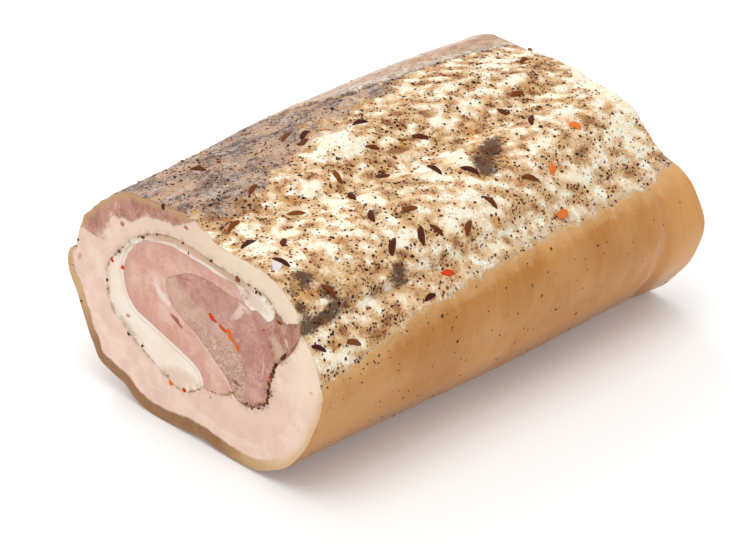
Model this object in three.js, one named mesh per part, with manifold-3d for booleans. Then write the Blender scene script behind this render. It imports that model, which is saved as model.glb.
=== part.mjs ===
// A cooked, rolled pork roast: a skin-on pork belly slab wrapped round a folded piece of pork, cut clean at both ends
// so that the spiral of rind, fat and lean shows. Lengths are in millimetres, +Z is up, and the roll lies along X.
//
// The roll's section is drawn once in (across, up) coordinates, where across is +Y. Each layer is a closed loop of
// shared curves, pulled in by half a gap, extruded along the roll and then bent by one smooth field, so that the
// layers swell and lean together and never cross.
import * as THREE from "three";
import { mergeVertices } from "three/addons/utils/BufferGeometryUtils.js";
import Module from "manifold-3d";

const wasm = await Module();
wasm.setup();

// ---- Driving dimensions ----
const LENGTH = 150; // between the two cuts, along the roll's middle
const AXIS_UP = 36; // height of the roll's middle over the surface that it rests on
const GAP = 0.36; // between two neighbouring layers
const OUTER_STEPS = 18; // slices along the roll in the layers that show on its outside
const INNER_STEPS = 9; // slices in the layers that show on the cuts alone
const OUTSIDE_SPACING = 3.4; // between two points of a loop, on the roll's outside
const SEAM_SPACING = 3.9; // the same on the seams between layers
const STRING_ALONG = 62; // where a string pressed a crease across the skin
const STRING_WIDTH = 6;

// The far cut leans: it stands further out at the front than at the back, and further out low than high.
const LEAN_START = 30; // the slices lean from here on to the far cut
const LEAN_ACROSS = 0.06;
const LEAN_UP = 0.1;

// Seeds and flakes lie pressed into the outside.
const SEED_LENGTH = 6.6;
const SEED_THICK = 1.7;
const SEED_BEND = 0.5; // how far a seed's tips droop
const FLAKE_SIZE = 4.2;
const FLAKE_THICK = 1.1;
const SCATTERED_SEEDS = 10; // seeds placed by rule, besides those named one by one

// ---- The section's curves, each from one meeting point of layers to the next ----
const SKIN_CORNER = [-46.3, 54.2]; // where the slab's skin-side end meets the flap
const CAP_LOW = [47.4, 50.2]; // lower end of the lean cap on the far side of the top
const CAP_HIGH = [-2, 71.8]; // its upper end
const TONGUE_TIP = [-44.8, 57.4]; // where the slab's other end lies over the flap
const FLAP_TOP = [-35, 57.2];
const FAT_END = [-4.6, 19];
const LEAN_END = [-17.3, 22.6];
const FLAP_FOOT = [-34.8, 39.5];
const WEDGE_FOOT = [-31.8, 52];
const WEDGE_HEAD = [-22.5, 54.2];
const FOLD_TOP = [5.5, 51.4]; // on the folded lean's inner side, where the two core muscles part
const CORE_FOOT = [-21, 20.9];

const CURVES = {
  skin: [SKIN_CORNER, [-49, 50], [-51.6, 44.5], [-53, 36], [-52.2, 31], [-50, 25.5], [-47, 18.8], [-43, 13],
    [-38, 7.8], [-32, 3.8], [-26, 1.5], [-18, 0.6], [-10, 1], [-2, 1.9], [5, 1], [13, 0.1], [20, 0.3], [25.5, 2.1],
    [30, 4.9], [35.5, 6.4], [41, 8.6], [43.4, 12.8], [45.5, 16.5], [48.2, 23], [50, 28], [52.6, 33], [53, 37.5],
    [51.8, 40.8], [49.6, 42.9], [48.8, 45.5], CAP_LOW],
  capOutside: [CAP_LOW, [45, 54.6], [40, 59.8], [33, 65.4], [26, 69], [19, 70.3], [11, 71.2], [4, 72], CAP_HIGH],
  capInside: [CAP_LOW, [45, 50.6], [40, 50.3], [36.8, 52.2], [34.5, 55.5], [33.4, 58.6], [31, 60.3], [24.5, 60.9],
    [20.5, 63.5], [18, 65.2], [10, 66.5], [4, 68], CAP_HIGH],
  bareFat: [CAP_HIGH, [-8, 69.8], [-13, 68], [-19, 68], [-26, 67.6], [-33, 66.6], [-38, 64.4], [-43, 60.6],
    TONGUE_TIP],
  flapOutside: [TONGUE_TIP, SKIN_CORNER],
  seamTongue: [TONGUE_TIP, [-43.6, 55.4], [-41, 54.6], [-37.6, 55.2], FLAP_TOP],
  seamRound: [FLAP_TOP, [-33, 59.3], [-29, 60.6], [-24, 60.9], [-17, 61.3], [-9, 62], [-2, 63], [5, 63], [12, 61.6],
    [18, 59.2], [23.5, 55.8], [27.5, 52.3], [30.5, 49], [33.5, 45.5], [35.6, 42], [36.3, 38], [35.5, 33],
    [34, 28.7], [30.5, 26], [26.5, 23.2], [21.5, 20.7], [16, 18], [11, 15.6], [6, 14], [2.5, 14.6], [-1, 16.6],
    FAT_END],
  seamUnderLean: [FAT_END, [-8.5, 19.2], [-13, 20.2], LEAN_END],
  seamUnderCoreLeft: [LEAN_END, [-19.2, 21.2], CORE_FOOT],
  seamUnderCoreRight: [CORE_FOOT, [-23.5, 21.2], [-26.8, 22.8], [-30.3, 25], [-31.8, 28], [-32.5, 32], FLAP_FOOT],
  seamUnderFlap: [FLAP_FOOT, [-37, 41.6], [-40.5, 45.2], [-43.5, 49.8], SKIN_CORNER],
  fatToLean: [FAT_END, [-4.2, 22], [-1.5, 25], [4, 27], [11, 29], [18, 31], [24, 33], [27.3, 36.8], [28.6, 41.5],
    [27.8, 46.5], [25, 51.5], [21, 55.5], [16, 58.2], [10, 59.4], [3, 59.7], [-5, 59.4], [-12, 58.7],
    [-19, 58.9], [-23.6, 58.7], [-25.4, 57], WEDGE_HEAD],
  leanToCoreTop: [WEDGE_HEAD, [-17, 54.3], [-10, 55.1], [-4, 55], [1, 53.8], FOLD_TOP],
  leanToCoreLow: [FOLD_TOP, [9.3, 48.8], [10.3, 45.5], [8.5, 42], [5, 39], [0, 36.6], [-5, 33.4], [-10, 30],
    [-14, 26.8], LEAN_END],
  coreFold: [FOLD_TOP, [4.2, 48.4], [-1, 46.2], [-7.5, 44.3], [-14, 42.2], [-19.6, 38.6], [-22, 32.5],
    [-22.2, 26.5], CORE_FOOT],
  wedgeToFlap: [FLAP_TOP, [-34.6, 55], [-33.6, 53.3], WEDGE_FOOT],
  wedgeToCore: [WEDGE_FOOT, [-29.4, 53.2], [-27.4, 53.9], [-25.2, 53], WEDGE_HEAD],
  coreToFlap: [FLAP_FOOT, [-33, 42.5], [-32, 45.5], [-31.6, 48.8], WEDGE_FOOT],
};

// ---- The layers: each a loop of curves, where a leading "-" runs that curve backwards ----
const LAYERS = {
  belly_slab: {
    loop: ["skin", "capInside", "bareFat", "seamTongue", "seamRound", "seamUnderLean", "seamUnderCoreLeft",
      "seamUnderCoreRight", "seamUnderFlap"],
    shows: true,
    colour: 0xd9b48a,
  },
  cap_lean: { loop: ["capOutside", "-capInside"], shows: true, colour: 0xa8877a },
  flap_lean: {
    loop: ["seamUnderFlap", "-flapOutside", "seamTongue", "wedgeToFlap", "-coreToFlap"],
    shows: true,
    colour: 0xc49a8c,
  },
  inner_fat: { loop: ["seamRound", "fatToLean", "-wedgeToCore", "-wedgeToFlap"], colour: 0xf4e4d2 },
  folded_lean: { loop: ["seamUnderLean", "-leanToCoreLow", "-leanToCoreTop", "-fatToLean"], colour: 0xd69a8a },
  core_coarse_lean: { loop: ["leanToCoreLow", "seamUnderCoreLeft", "-coreFold"], colour: 0xc9a396 },
  core_fine_lean: {
    loop: ["coreFold", "seamUnderCoreRight", "coreToFlap", "wedgeToCore", "leanToCoreTop"],
    colour: 0xc08883,
  },
};
const OUTSIDE = ["skin", "capOutside", "bareFat", "flapOutside"];

// ---- The field that bends every layer alike ----
// "around" is an angle in degrees about the roll's middle: 0 is the front (-Y), 90 the top, 180 the back.
// Each swell is a soft bump over (around, along) that moves the surface out by its height, and what lies below it by
// less: by the share (distance from the middle / outer radius) to the power "fade". "drift" turns the bump's middle
// by that many degrees between the near cut and the far one.
const BODY_FADE = 2; // a swell of the whole roll
const END_FADE = 4; // a swell of its outer half
const SKIN_FADE = 9; // relief of the outside alone
const SWELLS = [
  // the roll's own shape
  { name: "barrel on the back shoulder", around: 122, spread: 34, along: 8, reach: 62, height: 3.4, fade: BODY_FADE },
  { name: "barrel on the front flank", around: 325, spread: 34, along: 22, reach: 62, height: 2.6, fade: BODY_FADE },
  { name: "base sags flat", around: 268, spread: 18, along: 30, reach: 75, height: 2.4, fade: BODY_FADE },
  { name: "far shoulder drawn in", around: 29, spread: 17, along: 92, reach: 62, height: -9, fade: BODY_FADE },
  { name: "far top drawn in", around: 109, spread: 22.5, along: 98, reach: 36, height: -5.9, fade: END_FADE },
  { name: "far flank hollow", around: 56, spread: 10, along: 84, reach: 26, height: -1.4, fade: END_FADE },
  { name: "far skin flares", around: 352, spread: 20, along: 84, reach: 20, height: 3.7, fade: END_FADE },
  { name: "far underside flares", around: 312, spread: 16, along: 84, reach: 20, height: 3.4, fade: END_FADE },
  // what the string and the wrap left
  { name: "string mark", around: 342, spread: 34, along: STRING_ALONG, reach: 2.2, height: -1.5, fade: SKIN_FADE },
  { name: "groove at the wrap's end", around: 22, spread: 3.4, drift: -3, along: -30, reach: 60, height: -1.9,
    fade: SKIN_FADE },
  { name: "lip of the skin", around: 3, spread: 6, drift: 11, along: 60, reach: 95, height: 1.1, fade: SKIN_FADE },
  { name: "skin over the far top", around: 126, spread: 16, drift: -8, along: 84, reach: 34, height: 1.3,
    fade: SKIN_FADE },
  { name: "step under the skin", around: 91, spread: 8.8, drift: -6, along: 78, reach: 38, height: -1.1,
    fade: SKIN_FADE },
  // lumps of fat between the creases of the top
  { name: "lump", around: 91, spread: 7, along: -16, reach: 9, height: 1.3, fade: SKIN_FADE },
  { name: "lump", around: 75, spread: 8, along: -36, reach: 9, height: 1.1, fade: SKIN_FADE },
  { name: "lump", around: 55, spread: 8, along: -24, reach: 8, height: 0.9, fade: SKIN_FADE },
  { name: "lump", around: 54, spread: 8, along: 9, reach: 9, height: 1.2, fade: SKIN_FADE },
  { name: "lump", around: 46, spread: 8, along: -68, reach: 8, height: 0.9, fade: SKIN_FADE },
  { name: "lump", around: 84, spread: 7, along: 52, reach: 12, height: 1.3, fade: SKIN_FADE },
  { name: "hollow", around: 49, spread: 7, along: 20, reach: 9, height: -1.2, fade: SKIN_FADE },
  { name: "hollow", around: 86, spread: 6, along: -58, reach: 8, height: -1, fade: SKIN_FADE },
  { name: "hollow", around: 29, spread: 6, along: -38, reach: 11, height: -1.1, fade: SKIN_FADE },
];

// ---- The largest seeds and flakes, each where it lies: along, around and the turn of its long side off the roll's
// own direction, in degrees ----
const SLAB_SEEDS = [
  [7, 77, -38], [38, 70.5, -60], [48, 76.5, -12], [41.5, 58.3, 43], [-9, 82, -35], [22.5, 35.5, -33], [-24, 34, 60],
  [-18, 33.3, -68], [-8, 29.6, 40], [-47, 67, -33], [-29.7, 15, 3], [-60, 12.9, -28], [-71.8, 16, -38],
  [-61.5, 31, -65], [-20.8, 44, -15], [-67.8, 46.3, -78], [-14.2, 65.3, -45],
];
const CAP_SEEDS = [
  [65.5, 97.5, 24], [-4.5, 97.5, -12], [-24, 102.5, 20], [-24.5, 112, 20], [-53, 119.5, -70], [-51, 90, 22],
  [-20.5, 107, 27],
];
const SLAB_FLAKES = [[32, 34.5, 35], [28, 18.7, 8], [51, 46.2, -45], [-20, 18.6, -20]];

const degrees = (across, up) => THREE.MathUtils.radToDeg(Math.atan2(up - AXIS_UP, -across));
const wrapped = (angle) => THREE.MathUtils.euclideanModulo(angle + 180, 360) - 180;
const bump = (offset, width) => Math.exp(-((offset / width) ** 2));

// A smooth curve through the points of a named stretch, as evenly spaced points that leave out the last one. Each
// point keeps the inset of the stretch that leaves it: none on the outside, half a gap on a seam.
function stretch(name) {
  const backwards = name.startsWith("-");
  const plain = backwards ? name.slice(1) : name;
  const outside = OUTSIDE.includes(plain);
  const curve = new THREE.SplineCurve(CURVES[plain].map(([across, up]) => new THREE.Vector2(across, up)));
  const count = Math.max(1, Math.round(curve.getLength() / (outside ? OUTSIDE_SPACING : SEAM_SPACING)));
  const spaced = curve.getSpacedPoints(count);
  const kept = (backwards ? spaced.reverse() : spaced).slice(0, -1);
  return kept.map((point) => ({ point, inset: outside ? 0 : GAP / 2 }));
}

const loopOf = (names) => names.flatMap(stretch);

// Every edge of a loop moves in by its own inset, and each corner goes to where its two edges then meet.
function pulledIn(loop) {
  const turn = THREE.ShapeUtils.isClockWise(loop.map(({ point }) => point)) ? -1 : 1;
  const edges = loop.map(({ point, inset }, i) => ({
    along: loop[(i + 1) % loop.length].point.clone().sub(point).normalize(),
    inset: inset * turn,
  }));
  return loop.map(({ point }, i) => {
    const before = edges.at(i - 1);
    const after = edges[i];
    const sine = before.along.cross(after.along);
    if (Math.abs(sine) > 0.08) {
      const moved = after.along.clone().multiplyScalar(before.inset / sine);
      return moved.addScaledVector(before.along, -after.inset / sine).add(point);
    }
    const inward = new THREE.Vector2(-after.along.y, after.along.x);
    return inward.multiplyScalar((before.inset + after.inset) / 2).add(point);
  });
}

// The outer radius for each angle, from the outline of the whole roll.
const outline = loopOf(OUTSIDE)
  .map(({ point }) => ({ angle: degrees(point.x, point.y), radius: Math.hypot(point.x, point.y - AXIS_UP) }))
  .sort((a, b) => a.angle - b.angle);

function outerRadius(around) {
  const angle = wrapped(around);
  const found = outline.findIndex((p) => p.angle > angle);
  const after = outline[Math.max(found, 0)];
  const before = outline.at(Math.max(found, 0) - 1);
  const span = THREE.MathUtils.euclideanModulo(after.angle - before.angle, 360);
  const share = THREE.MathUtils.euclideanModulo(angle - before.angle, 360) / span;
  return THREE.MathUtils.lerp(before.radius, after.radius, share);
}

// Where a point of the section comes to lie at a station along the roll.
function bent(along, across, up) {
  const around = degrees(across, up);
  const radius = Math.hypot(across, up - AXIS_UP);
  const depth = Math.min(1, radius / outerRadius(around));
  const swollen = SWELLS.reduce((sum, swell) => {
    const middle = swell.around + (swell.drift ?? 0) * (along / LENGTH + 0.5);
    const strength = bump(wrapped(around - middle), swell.spread) * bump(along - swell.along, swell.reach);
    return sum + swell.height * strength * depth ** swell.fade;
  }, 0);
  const scale = (radius + swollen) / radius;
  const y = across * scale;
  const z = Math.max(0, AXIS_UP + (up - AXIS_UP) * scale);
  const share = THREE.MathUtils.clamp((along - LEAN_START) / (LENGTH / 2 - LEAN_START), 0, 1);
  return new THREE.Vector3(along - share * (LEAN_ACROSS * y + LEAN_UP * (z - AXIS_UP)), y, z);
}

// The slices' places along the roll. The layers that show get three more of them at the string's crease.
function stations(shows) {
  const steps = shows ? OUTER_STEPS : INNER_STEPS;
  const even = Array.from({ length: steps + 1 }, (_, i) => LENGTH * (i / steps - 0.5));
  const crease = shows ? [-0.5, 0, 0.5].map((share) => STRING_ALONG + share * STRING_WIDTH) : [];
  const clear = even.filter((place) => crease.every((other) => Math.abs(place - other) > STRING_WIDTH / 3));
  return [...clear, ...crease].sort((a, b) => a - b);
}

// One layer: its loop extruded along the roll, and each point then bent into place.
function layerGeometry({ loop, shows }) {
  const slices = stations(shows);
  const steps = slices.length - 1;
  const shape = new THREE.Shape(pulledIn(loopOf(loop)));
  const extruded = new THREE.ExtrudeGeometry(shape, { steps, depth: steps, bevelEnabled: false });
  extruded.deleteAttribute("normal");
  extruded.deleteAttribute("uv");
  const geometry = mergeVertices(extruded, 1e-4);
  const position = geometry.attributes.position;
  for (let i = 0; i < position.count; i += 1) {
    const placed = bent(slices[Math.round(position.getZ(i))], position.getX(i), position.getY(i));
    position.setXYZ(i, placed.x, placed.y, placed.z);
  }
  return geometry;
}

// ---- Seeds and flakes ----
function outsideAt(along, around) {
  const radius = outerRadius(around);
  const angle = THREE.MathUtils.degToRad(around);
  return bent(along, -radius * Math.cos(angle), AXIS_UP + radius * Math.sin(angle));
}

// A frame on the outside: x along the lying thing, z straight out of the surface, y across.
function lyingAt([along, around, turn], sunk) {
  const place = outsideAt(along, around);
  const ahead = outsideAt(along + 2, around).sub(outsideAt(along - 2, around)).normalize();
  const beside = outsideAt(along, around + 3).sub(outsideAt(along, around - 3));
  const out = ahead.clone().cross(beside).normalize();
  const long = ahead.applyAxisAngle(out, THREE.MathUtils.degToRad(turn));
  const wide = out.clone().cross(long).normalize();
  const frame = new THREE.Matrix4().makeBasis(wide.clone().cross(out).normalize(), wide, out);
  return frame.setPosition(place.addScaledVector(out, -sunk));
}

// A caraway seed is a ridged crescent; a flake of dried chilli is a thin, bent, four-sided chip.
function seedGeometry() {
  const seed = new THREE.SphereGeometry(0.5, 5, 4).rotateZ(Math.PI / 2).scale(SEED_LENGTH, SEED_THICK, SEED_THICK);
  const position = seed.attributes.position;
  for (let i = 0; i < position.count; i += 1) {
    const share = position.getX(i) / (SEED_LENGTH / 2);
    position.setZ(i, position.getZ(i) - SEED_BEND * share ** 2);
  }
  return seed;
}

const flakeGeometry = () => new THREE.BoxGeometry(FLAKE_SIZE, FLAKE_SIZE * 0.62, FLAKE_THICK, 1, 1, 1);

// The scattered seeds follow the golden ratio of the plane over the spiced top, and keep clear of the named ones.
function scatteredSeeds() {
  const step = [0.7548776662, 0.5698402910];
  const far = ([along, around]) => [...SLAB_SEEDS, ...SLAB_FLAKES]
    .every(([a, b]) => Math.hypot(a - along, (b - around) * 0.8) > 9);
  const tried = Array.from({ length: 3 * SCATTERED_SEEDS }, (_, i) => [
    -70 + 138 * ((0.5 + step[0] * i) % 1),
    31 + 49 * ((0.5 + step[1] * i) % 1),
    (137.5 * i) % 180 - 90,
  ]);
  return tried.filter(far).slice(0, SCATTERED_SEEDS);
}

function toManifold(geometry) {
  const bare = geometry.clone();
  Object.keys(bare.attributes).filter((name) => name !== "position").forEach((name) => bare.deleteAttribute(name));
  const welded = mergeVertices(bare, 1e-4);
  const { position } = welded.attributes;
  const mesh = new wasm.Mesh({
    numProp: 3,
    vertProperties: new Float32Array(position.array),
    triVerts: new Uint32Array(welded.index.array),
  });
  return new wasm.Manifold(mesh);
}

function fromManifold(solid) {
  const mesh = solid.getMesh();
  const geometry = new THREE.BufferGeometry();
  geometry.setAttribute("position", new THREE.BufferAttribute(new Float32Array(mesh.vertProperties), 3));
  geometry.setIndex(new THREE.BufferAttribute(new Uint32Array(mesh.triVerts), 1));
  return geometry;
}

const seedAt = (at) => seedGeometry().applyMatrix4(lyingAt(at, 0.1));
const flakeAt = (at) => flakeGeometry().applyMatrix4(lyingAt(at, 0));
const TOPPINGS = {
  belly_slab: [...SLAB_SEEDS.map(seedAt), ...scatteredSeeds().map(seedAt), ...SLAB_FLAKES.map(flakeAt)],
  cap_lean: CAP_SEEDS.map(seedAt),
};

function withToppings(name, geometry) {
  const parts = [geometry, ...(TOPPINGS[name] ?? [])];
  return parts.length > 1 ? fromManifold(wasm.Manifold.union(parts.map(toManifold))) : geometry;
}

// ---- The roast ----
const roast = new THREE.Group();
roast.name = "rolled_pork_roast";
for (const [name, layer] of Object.entries(LAYERS)) {
  const geometry = withToppings(name, layerGeometry(layer));
  geometry.computeVertexNormals();
  const material = new THREE.MeshStandardMaterial({ color: layer.colour, roughness: 0.45 });
  const mesh = new THREE.Mesh(geometry, material);
  mesh.name = name;
  roast.add(mesh);
}

// The lopsided roll is centred over the origin, as a last step.
const middle = new THREE.Box3().setFromObject(roast).getCenter(new THREE.Vector3());
roast.children.forEach((mesh) => mesh.geometry.translate(-middle.x, -middle.y, 0));

export default roast;
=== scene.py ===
# %% [markdown]
# # A rolled pork roast, dressed over its measured solids
#
# The object is a cooked roll: a slab of pork belly with its rind, wrapped round a folded piece of lean pork
# and cut clean at both ends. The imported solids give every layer's true place. This script makes the looks:
# the finely uneven outside with its film of spice, the cut faces with their grain, and every seed and grain
# that lies on them.
#
# The frame comes first. All that follows rides on its one body, in the same metres.

# %% The frame
import json
from math import radians
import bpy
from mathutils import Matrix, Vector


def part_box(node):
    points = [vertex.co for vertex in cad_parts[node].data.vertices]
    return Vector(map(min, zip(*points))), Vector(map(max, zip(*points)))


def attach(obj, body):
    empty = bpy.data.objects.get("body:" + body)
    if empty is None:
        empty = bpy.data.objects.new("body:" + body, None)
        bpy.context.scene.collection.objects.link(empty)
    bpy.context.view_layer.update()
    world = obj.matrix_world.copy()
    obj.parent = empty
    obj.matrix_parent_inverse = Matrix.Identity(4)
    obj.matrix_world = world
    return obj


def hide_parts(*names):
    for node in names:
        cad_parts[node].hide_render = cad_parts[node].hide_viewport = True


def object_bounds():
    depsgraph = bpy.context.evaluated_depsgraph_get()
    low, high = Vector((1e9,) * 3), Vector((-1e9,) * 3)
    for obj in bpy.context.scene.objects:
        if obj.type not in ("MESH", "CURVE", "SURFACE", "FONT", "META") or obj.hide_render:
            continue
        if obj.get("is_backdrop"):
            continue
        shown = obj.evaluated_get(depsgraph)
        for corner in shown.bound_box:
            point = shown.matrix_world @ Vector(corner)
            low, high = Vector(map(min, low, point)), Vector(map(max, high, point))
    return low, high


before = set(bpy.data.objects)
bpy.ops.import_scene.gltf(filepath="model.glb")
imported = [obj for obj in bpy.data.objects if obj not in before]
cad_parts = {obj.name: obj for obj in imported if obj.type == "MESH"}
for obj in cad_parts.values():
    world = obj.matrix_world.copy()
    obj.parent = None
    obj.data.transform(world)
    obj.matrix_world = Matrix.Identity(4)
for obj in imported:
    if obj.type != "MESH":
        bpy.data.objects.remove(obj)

from types import SimpleNamespace

import bpy
import numpy as np
from mathutils import Matrix, Vector

cad_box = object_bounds()
print("frame:", sorted(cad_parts))

# %% [markdown]
# ## The roll's own coordinates
#
# A roll is easiest to think of as one drawn section that is carried along a line. So each point is first
# written as (along, across, up) in millimetres: along runs from the near cut to the far one, and across and
# up lie in the section. Patterns that follow the meat, such as the spiral of layers, are drawn in these,
# and one function then bends the straight roll into the real one.

# %% Sizes
MM = 0.001  # metres in a millimetre
LENGTH = 150.0  # between the two cuts
AXIS_UP = 36.0  # height of the roll's middle
SEAM_INSET = 0.02  # how far a layer's side stands back from the seam that it shares
SLICE = 1.05  # between two slices, in the layers that show outside

# %% [markdown]
# ## The section's curves
#
# A spiral of layers could be modelled layer by layer, but then two neighbours never quite meet. Here each
# seam is drawn once, as a few points of a smooth curve from one meeting place to the next, and both of its
# layers use it.

# %% Meeting places and curves
SKIN_CORNER = (-46.3, 54.2)
CAP_LOW = (47.4, 50.2)
CAP_HIGH = (-2, 71.8)
TONGUE_TIP = (-44.8, 57.4)
FLAP_TOP = (-35, 57.2)
FAT_END = (-4.6, 19)
LEAN_END = (-17.3, 22.6)
FLAP_FOOT = (-34.8, 39.5)
WEDGE_FOOT = (-31.8, 52)
WEDGE_HEAD = (-22.5, 54.2)
FOLD_TOP = (5.5, 51.4)
CORE_FOOT = (-21, 20.9)

CURVES = {
    "skin": [SKIN_CORNER, (-49, 50), (-51.6, 44.5), (-53, 36), (-52.2, 31), (-50, 25.5), (-47, 18.8), (-43, 13),
             (-38, 7.8), (-32, 3.8), (-26, 1.5), (-18, 0.6), (-10, 1), (-2, 1.9), (5, 1), (13, 0.1), (20, 0.3),
             (25.5, 2.1), (30, 4.9), (35.5, 6.4), (41, 8.6), (43.4, 12.8), (45.5, 16.5), (48.2, 23), (50, 28),
             (52.6, 33), (53, 37.5), (51.8, 40.8), (49.6, 42.9), (48.8, 45.5), CAP_LOW],
    "capOutside": [CAP_LOW, (45, 54.6), (40, 59.8), (33, 65.4), (26, 69), (19, 70.3), (11, 71.2), (4, 72),
                   CAP_HIGH],
    "capInside": [CAP_LOW, (45, 50.6), (40, 50.3), (36.8, 52.2), (34.5, 55.5), (33.4, 58.6), (31, 60.3),
                  (24.5, 60.9), (20.5, 63.5), (18, 65.2), (10, 66.5), (4, 68), CAP_HIGH],
    "bareFat": [CAP_HIGH, (-8, 69.8), (-13, 68), (-19, 68), (-26, 67.6), (-33, 66.6), (-38, 64.4), (-43, 60.6),
                TONGUE_TIP],
    "flapOutside": [TONGUE_TIP, SKIN_CORNER],
    "seamTongue": [TONGUE_TIP, (-43.6, 55.4), (-41, 54.6), (-37.6, 55.2), FLAP_TOP],
    "seamRound": [FLAP_TOP, (-33, 59.3), (-29, 60.6), (-24, 60.9), (-17, 61.3), (-9, 62), (-2, 63), (5, 63),
                  (12, 61.6), (18, 59.2), (23.5, 55.8), (27.5, 52.3), (30.5, 49), (33.5, 45.5), (35.6, 42),
                  (36.3, 38), (35.5, 33), (34, 28.7), (30.5, 26), (26.5, 23.2), (21.5, 20.7), (16, 18),
                  (11, 15.6), (6, 14), (2.5, 14.6), (-1, 16.6), FAT_END],
    "seamUnderLean": [FAT_END, (-8.5, 19.2), (-13, 20.2), LEAN_END],
    "seamUnderCoreLeft": [LEAN_END, (-19.2, 21.2), CORE_FOOT],
    "seamUnderCoreRight": [CORE_FOOT, (-23.5, 21.2), (-26.8, 22.8), (-30.3, 25), (-31.8, 28), (-32.5, 32),
                           FLAP_FOOT],
    "seamUnderFlap": [FLAP_FOOT, (-37, 41.6), (-40.5, 45.2), (-43.5, 49.8), SKIN_CORNER],
    "fatToLean": [FAT_END, (-4.2, 22), (-1.5, 25), (4, 27), (11, 29), (18, 31), (24, 33), (27.3, 36.8),
                  (28.6, 41.5), (27.8, 46.5), (25, 51.5), (21, 55.5), (16, 58.2), (10, 59.4), (3, 59.7),
                  (-5, 59.4), (-12, 58.7), (-19, 58.9), (-23.6, 58.7), (-25.4, 57), WEDGE_HEAD],
    "leanToCoreTop": [WEDGE_HEAD, (-17, 54.3), (-10, 55.1), (-4, 55), (1, 53.8), FOLD_TOP],
    "leanToCoreLow": [FOLD_TOP, (9.3, 48.8), (10.3, 45.5), (8.5, 42), (5, 39), (0, 36.6), (-5, 33.4), (-10, 30),
                      (-14, 26.8), LEAN_END],
    "coreFold": [FOLD_TOP, (4.2, 48.4), (-1, 46.2), (-7.5, 44.3), (-14, 42.2), (-19.6, 38.6), (-22, 32.5),
                 (-22.2, 26.5), CORE_FOOT],
    "wedgeToFlap": [FLAP_TOP, (-34.6, 55), (-33.6, 53.3), WEDGE_FOOT],
    "wedgeToCore": [WEDGE_FOOT, (-29.4, 53.2), (-27.4, 53.9), (-25.2, 53), WEDGE_HEAD],
    "coreToFlap": [FLAP_FOOT, (-33, 42.5), (-32, 45.5), (-31.6, 48.8), WEDGE_FOOT],
}
OUTSIDE = ("skin", "capOutside", "bareFat", "flapOutside")
FINENESS = {"bareFat": 0.62, "capOutside": 0.72, "skin": 1.05}  # spacing of a curve's points, in mm
PLAIN_FINENESS = 1.5
EDGE_ROUND = 0.34  # how round a cut leaves the outer edge, in mm
CUT_ROUND = 0.1  # and the edges inside, in mm
# layers that grew together have hardly any groove; both sides of a seam use the same value
GROWN = {"capInside": 0.03, "coreFold": 0.03, "fatToLean": 0.06, "coreToFlap": 0.1, "wedgeToFlap": 0.1,
         "wedgeToCore": 0.06, "leanToCoreTop": 0.05, "leanToCoreLow": 0.05,
         **dict.fromkeys(OUTSIDE, EDGE_ROUND)}


def smooth(points, steps=20):
    """Catmull-Rom curve: between two points p1 and p2 the place at t is a cubic whose slope at each end is
    half the step from the point before to the point after; the ends repeat their own point."""
    p = np.array(points, float)
    p = np.vstack([p[:1], p, p[-1:]])
    t = np.linspace(0, 1, steps, endpoint=False)[None, :, None]
    before, start, end, after = p[:-3, None], p[1:-2, None], p[2:-1, None], p[3:, None]
    run, lift = (end - before) / 2, (after - start) / 2
    curve = (2 * start - 2 * end + run + lift) * t**3 + (3 * end - 3 * start - 2 * run - lift) * t**2
    curve = curve + run * t + start
    return np.vstack([curve.reshape(-1, 2), p[-1:]])


def side(names, count):
    """`count` points along the named curves joined end to end, and how round each point's edge is. Points
    are spread by length over fineness, so a curve that shows gets more of them, and the point nearest to
    each meeting place is moved onto it."""
    line, cost, corners = [], [0.0], []
    for name in names:
        points = smooth(CURVES[name.lstrip("-")])
        points = points[::-1] if name.startswith("-") else points
        spacing = FINENESS.get(name.lstrip("-"), PLAIN_FINENESS)
        steps = np.linalg.norm(np.diff(points, axis=0), axis=1) / spacing
        line.append(points if not line else points[1:])
        cost.extend(cost[-1] + np.cumsum(steps))
        corners.append(cost[-1])
    line, cost = np.vstack(line), np.array(cost)
    at = np.linspace(0, cost[-1], count)
    for corner in corners[:-1]:
        at[np.argmin(abs(at - corner))] = corner
    softness = np.array([GROWN.get(name.lstrip("-"), CUT_ROUND) for name in names])
    of_curve = np.minimum(np.searchsorted(corners, at, side="left"), len(names) - 1)
    return np.stack([np.interp(at, cost, line[:, i]) for i in (0, 1)], -1), softness[of_curve]


def nearest(points, names):
    """The distance in mm from each point of the section to the nearest of the named curves."""
    line = np.vstack([smooth(CURVES[name], 8) for name in names])
    return np.concatenate([np.hypot(*(part[:, None] - line[None]).transpose(2, 0, 1)).min(1)
                           for part in np.array_split(points, max(1, len(points) // 2000))])


print("curves:", len(CURVES), "points:", sum(len(c) for c in CURVES.values()))

# %% [markdown]
# ## Bending the roll
#
# The real roll is no straight bar: it bulges at the back shoulder, sags flat underneath, is drawn in at its
# far shoulder and keeps a crease where a string was. Each of these is a soft bump over (around, along), the
# same ones as the solids have, so that what is drawn here lies on them.

# %% The field of swells
BODY_FADE, END_FADE, SKIN_FADE = 2, 4, 9
STRING_ALONG = 62.0
LEAN_START, LEAN_ACROSS, LEAN_UP = 30.0, 0.06, 0.1
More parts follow.
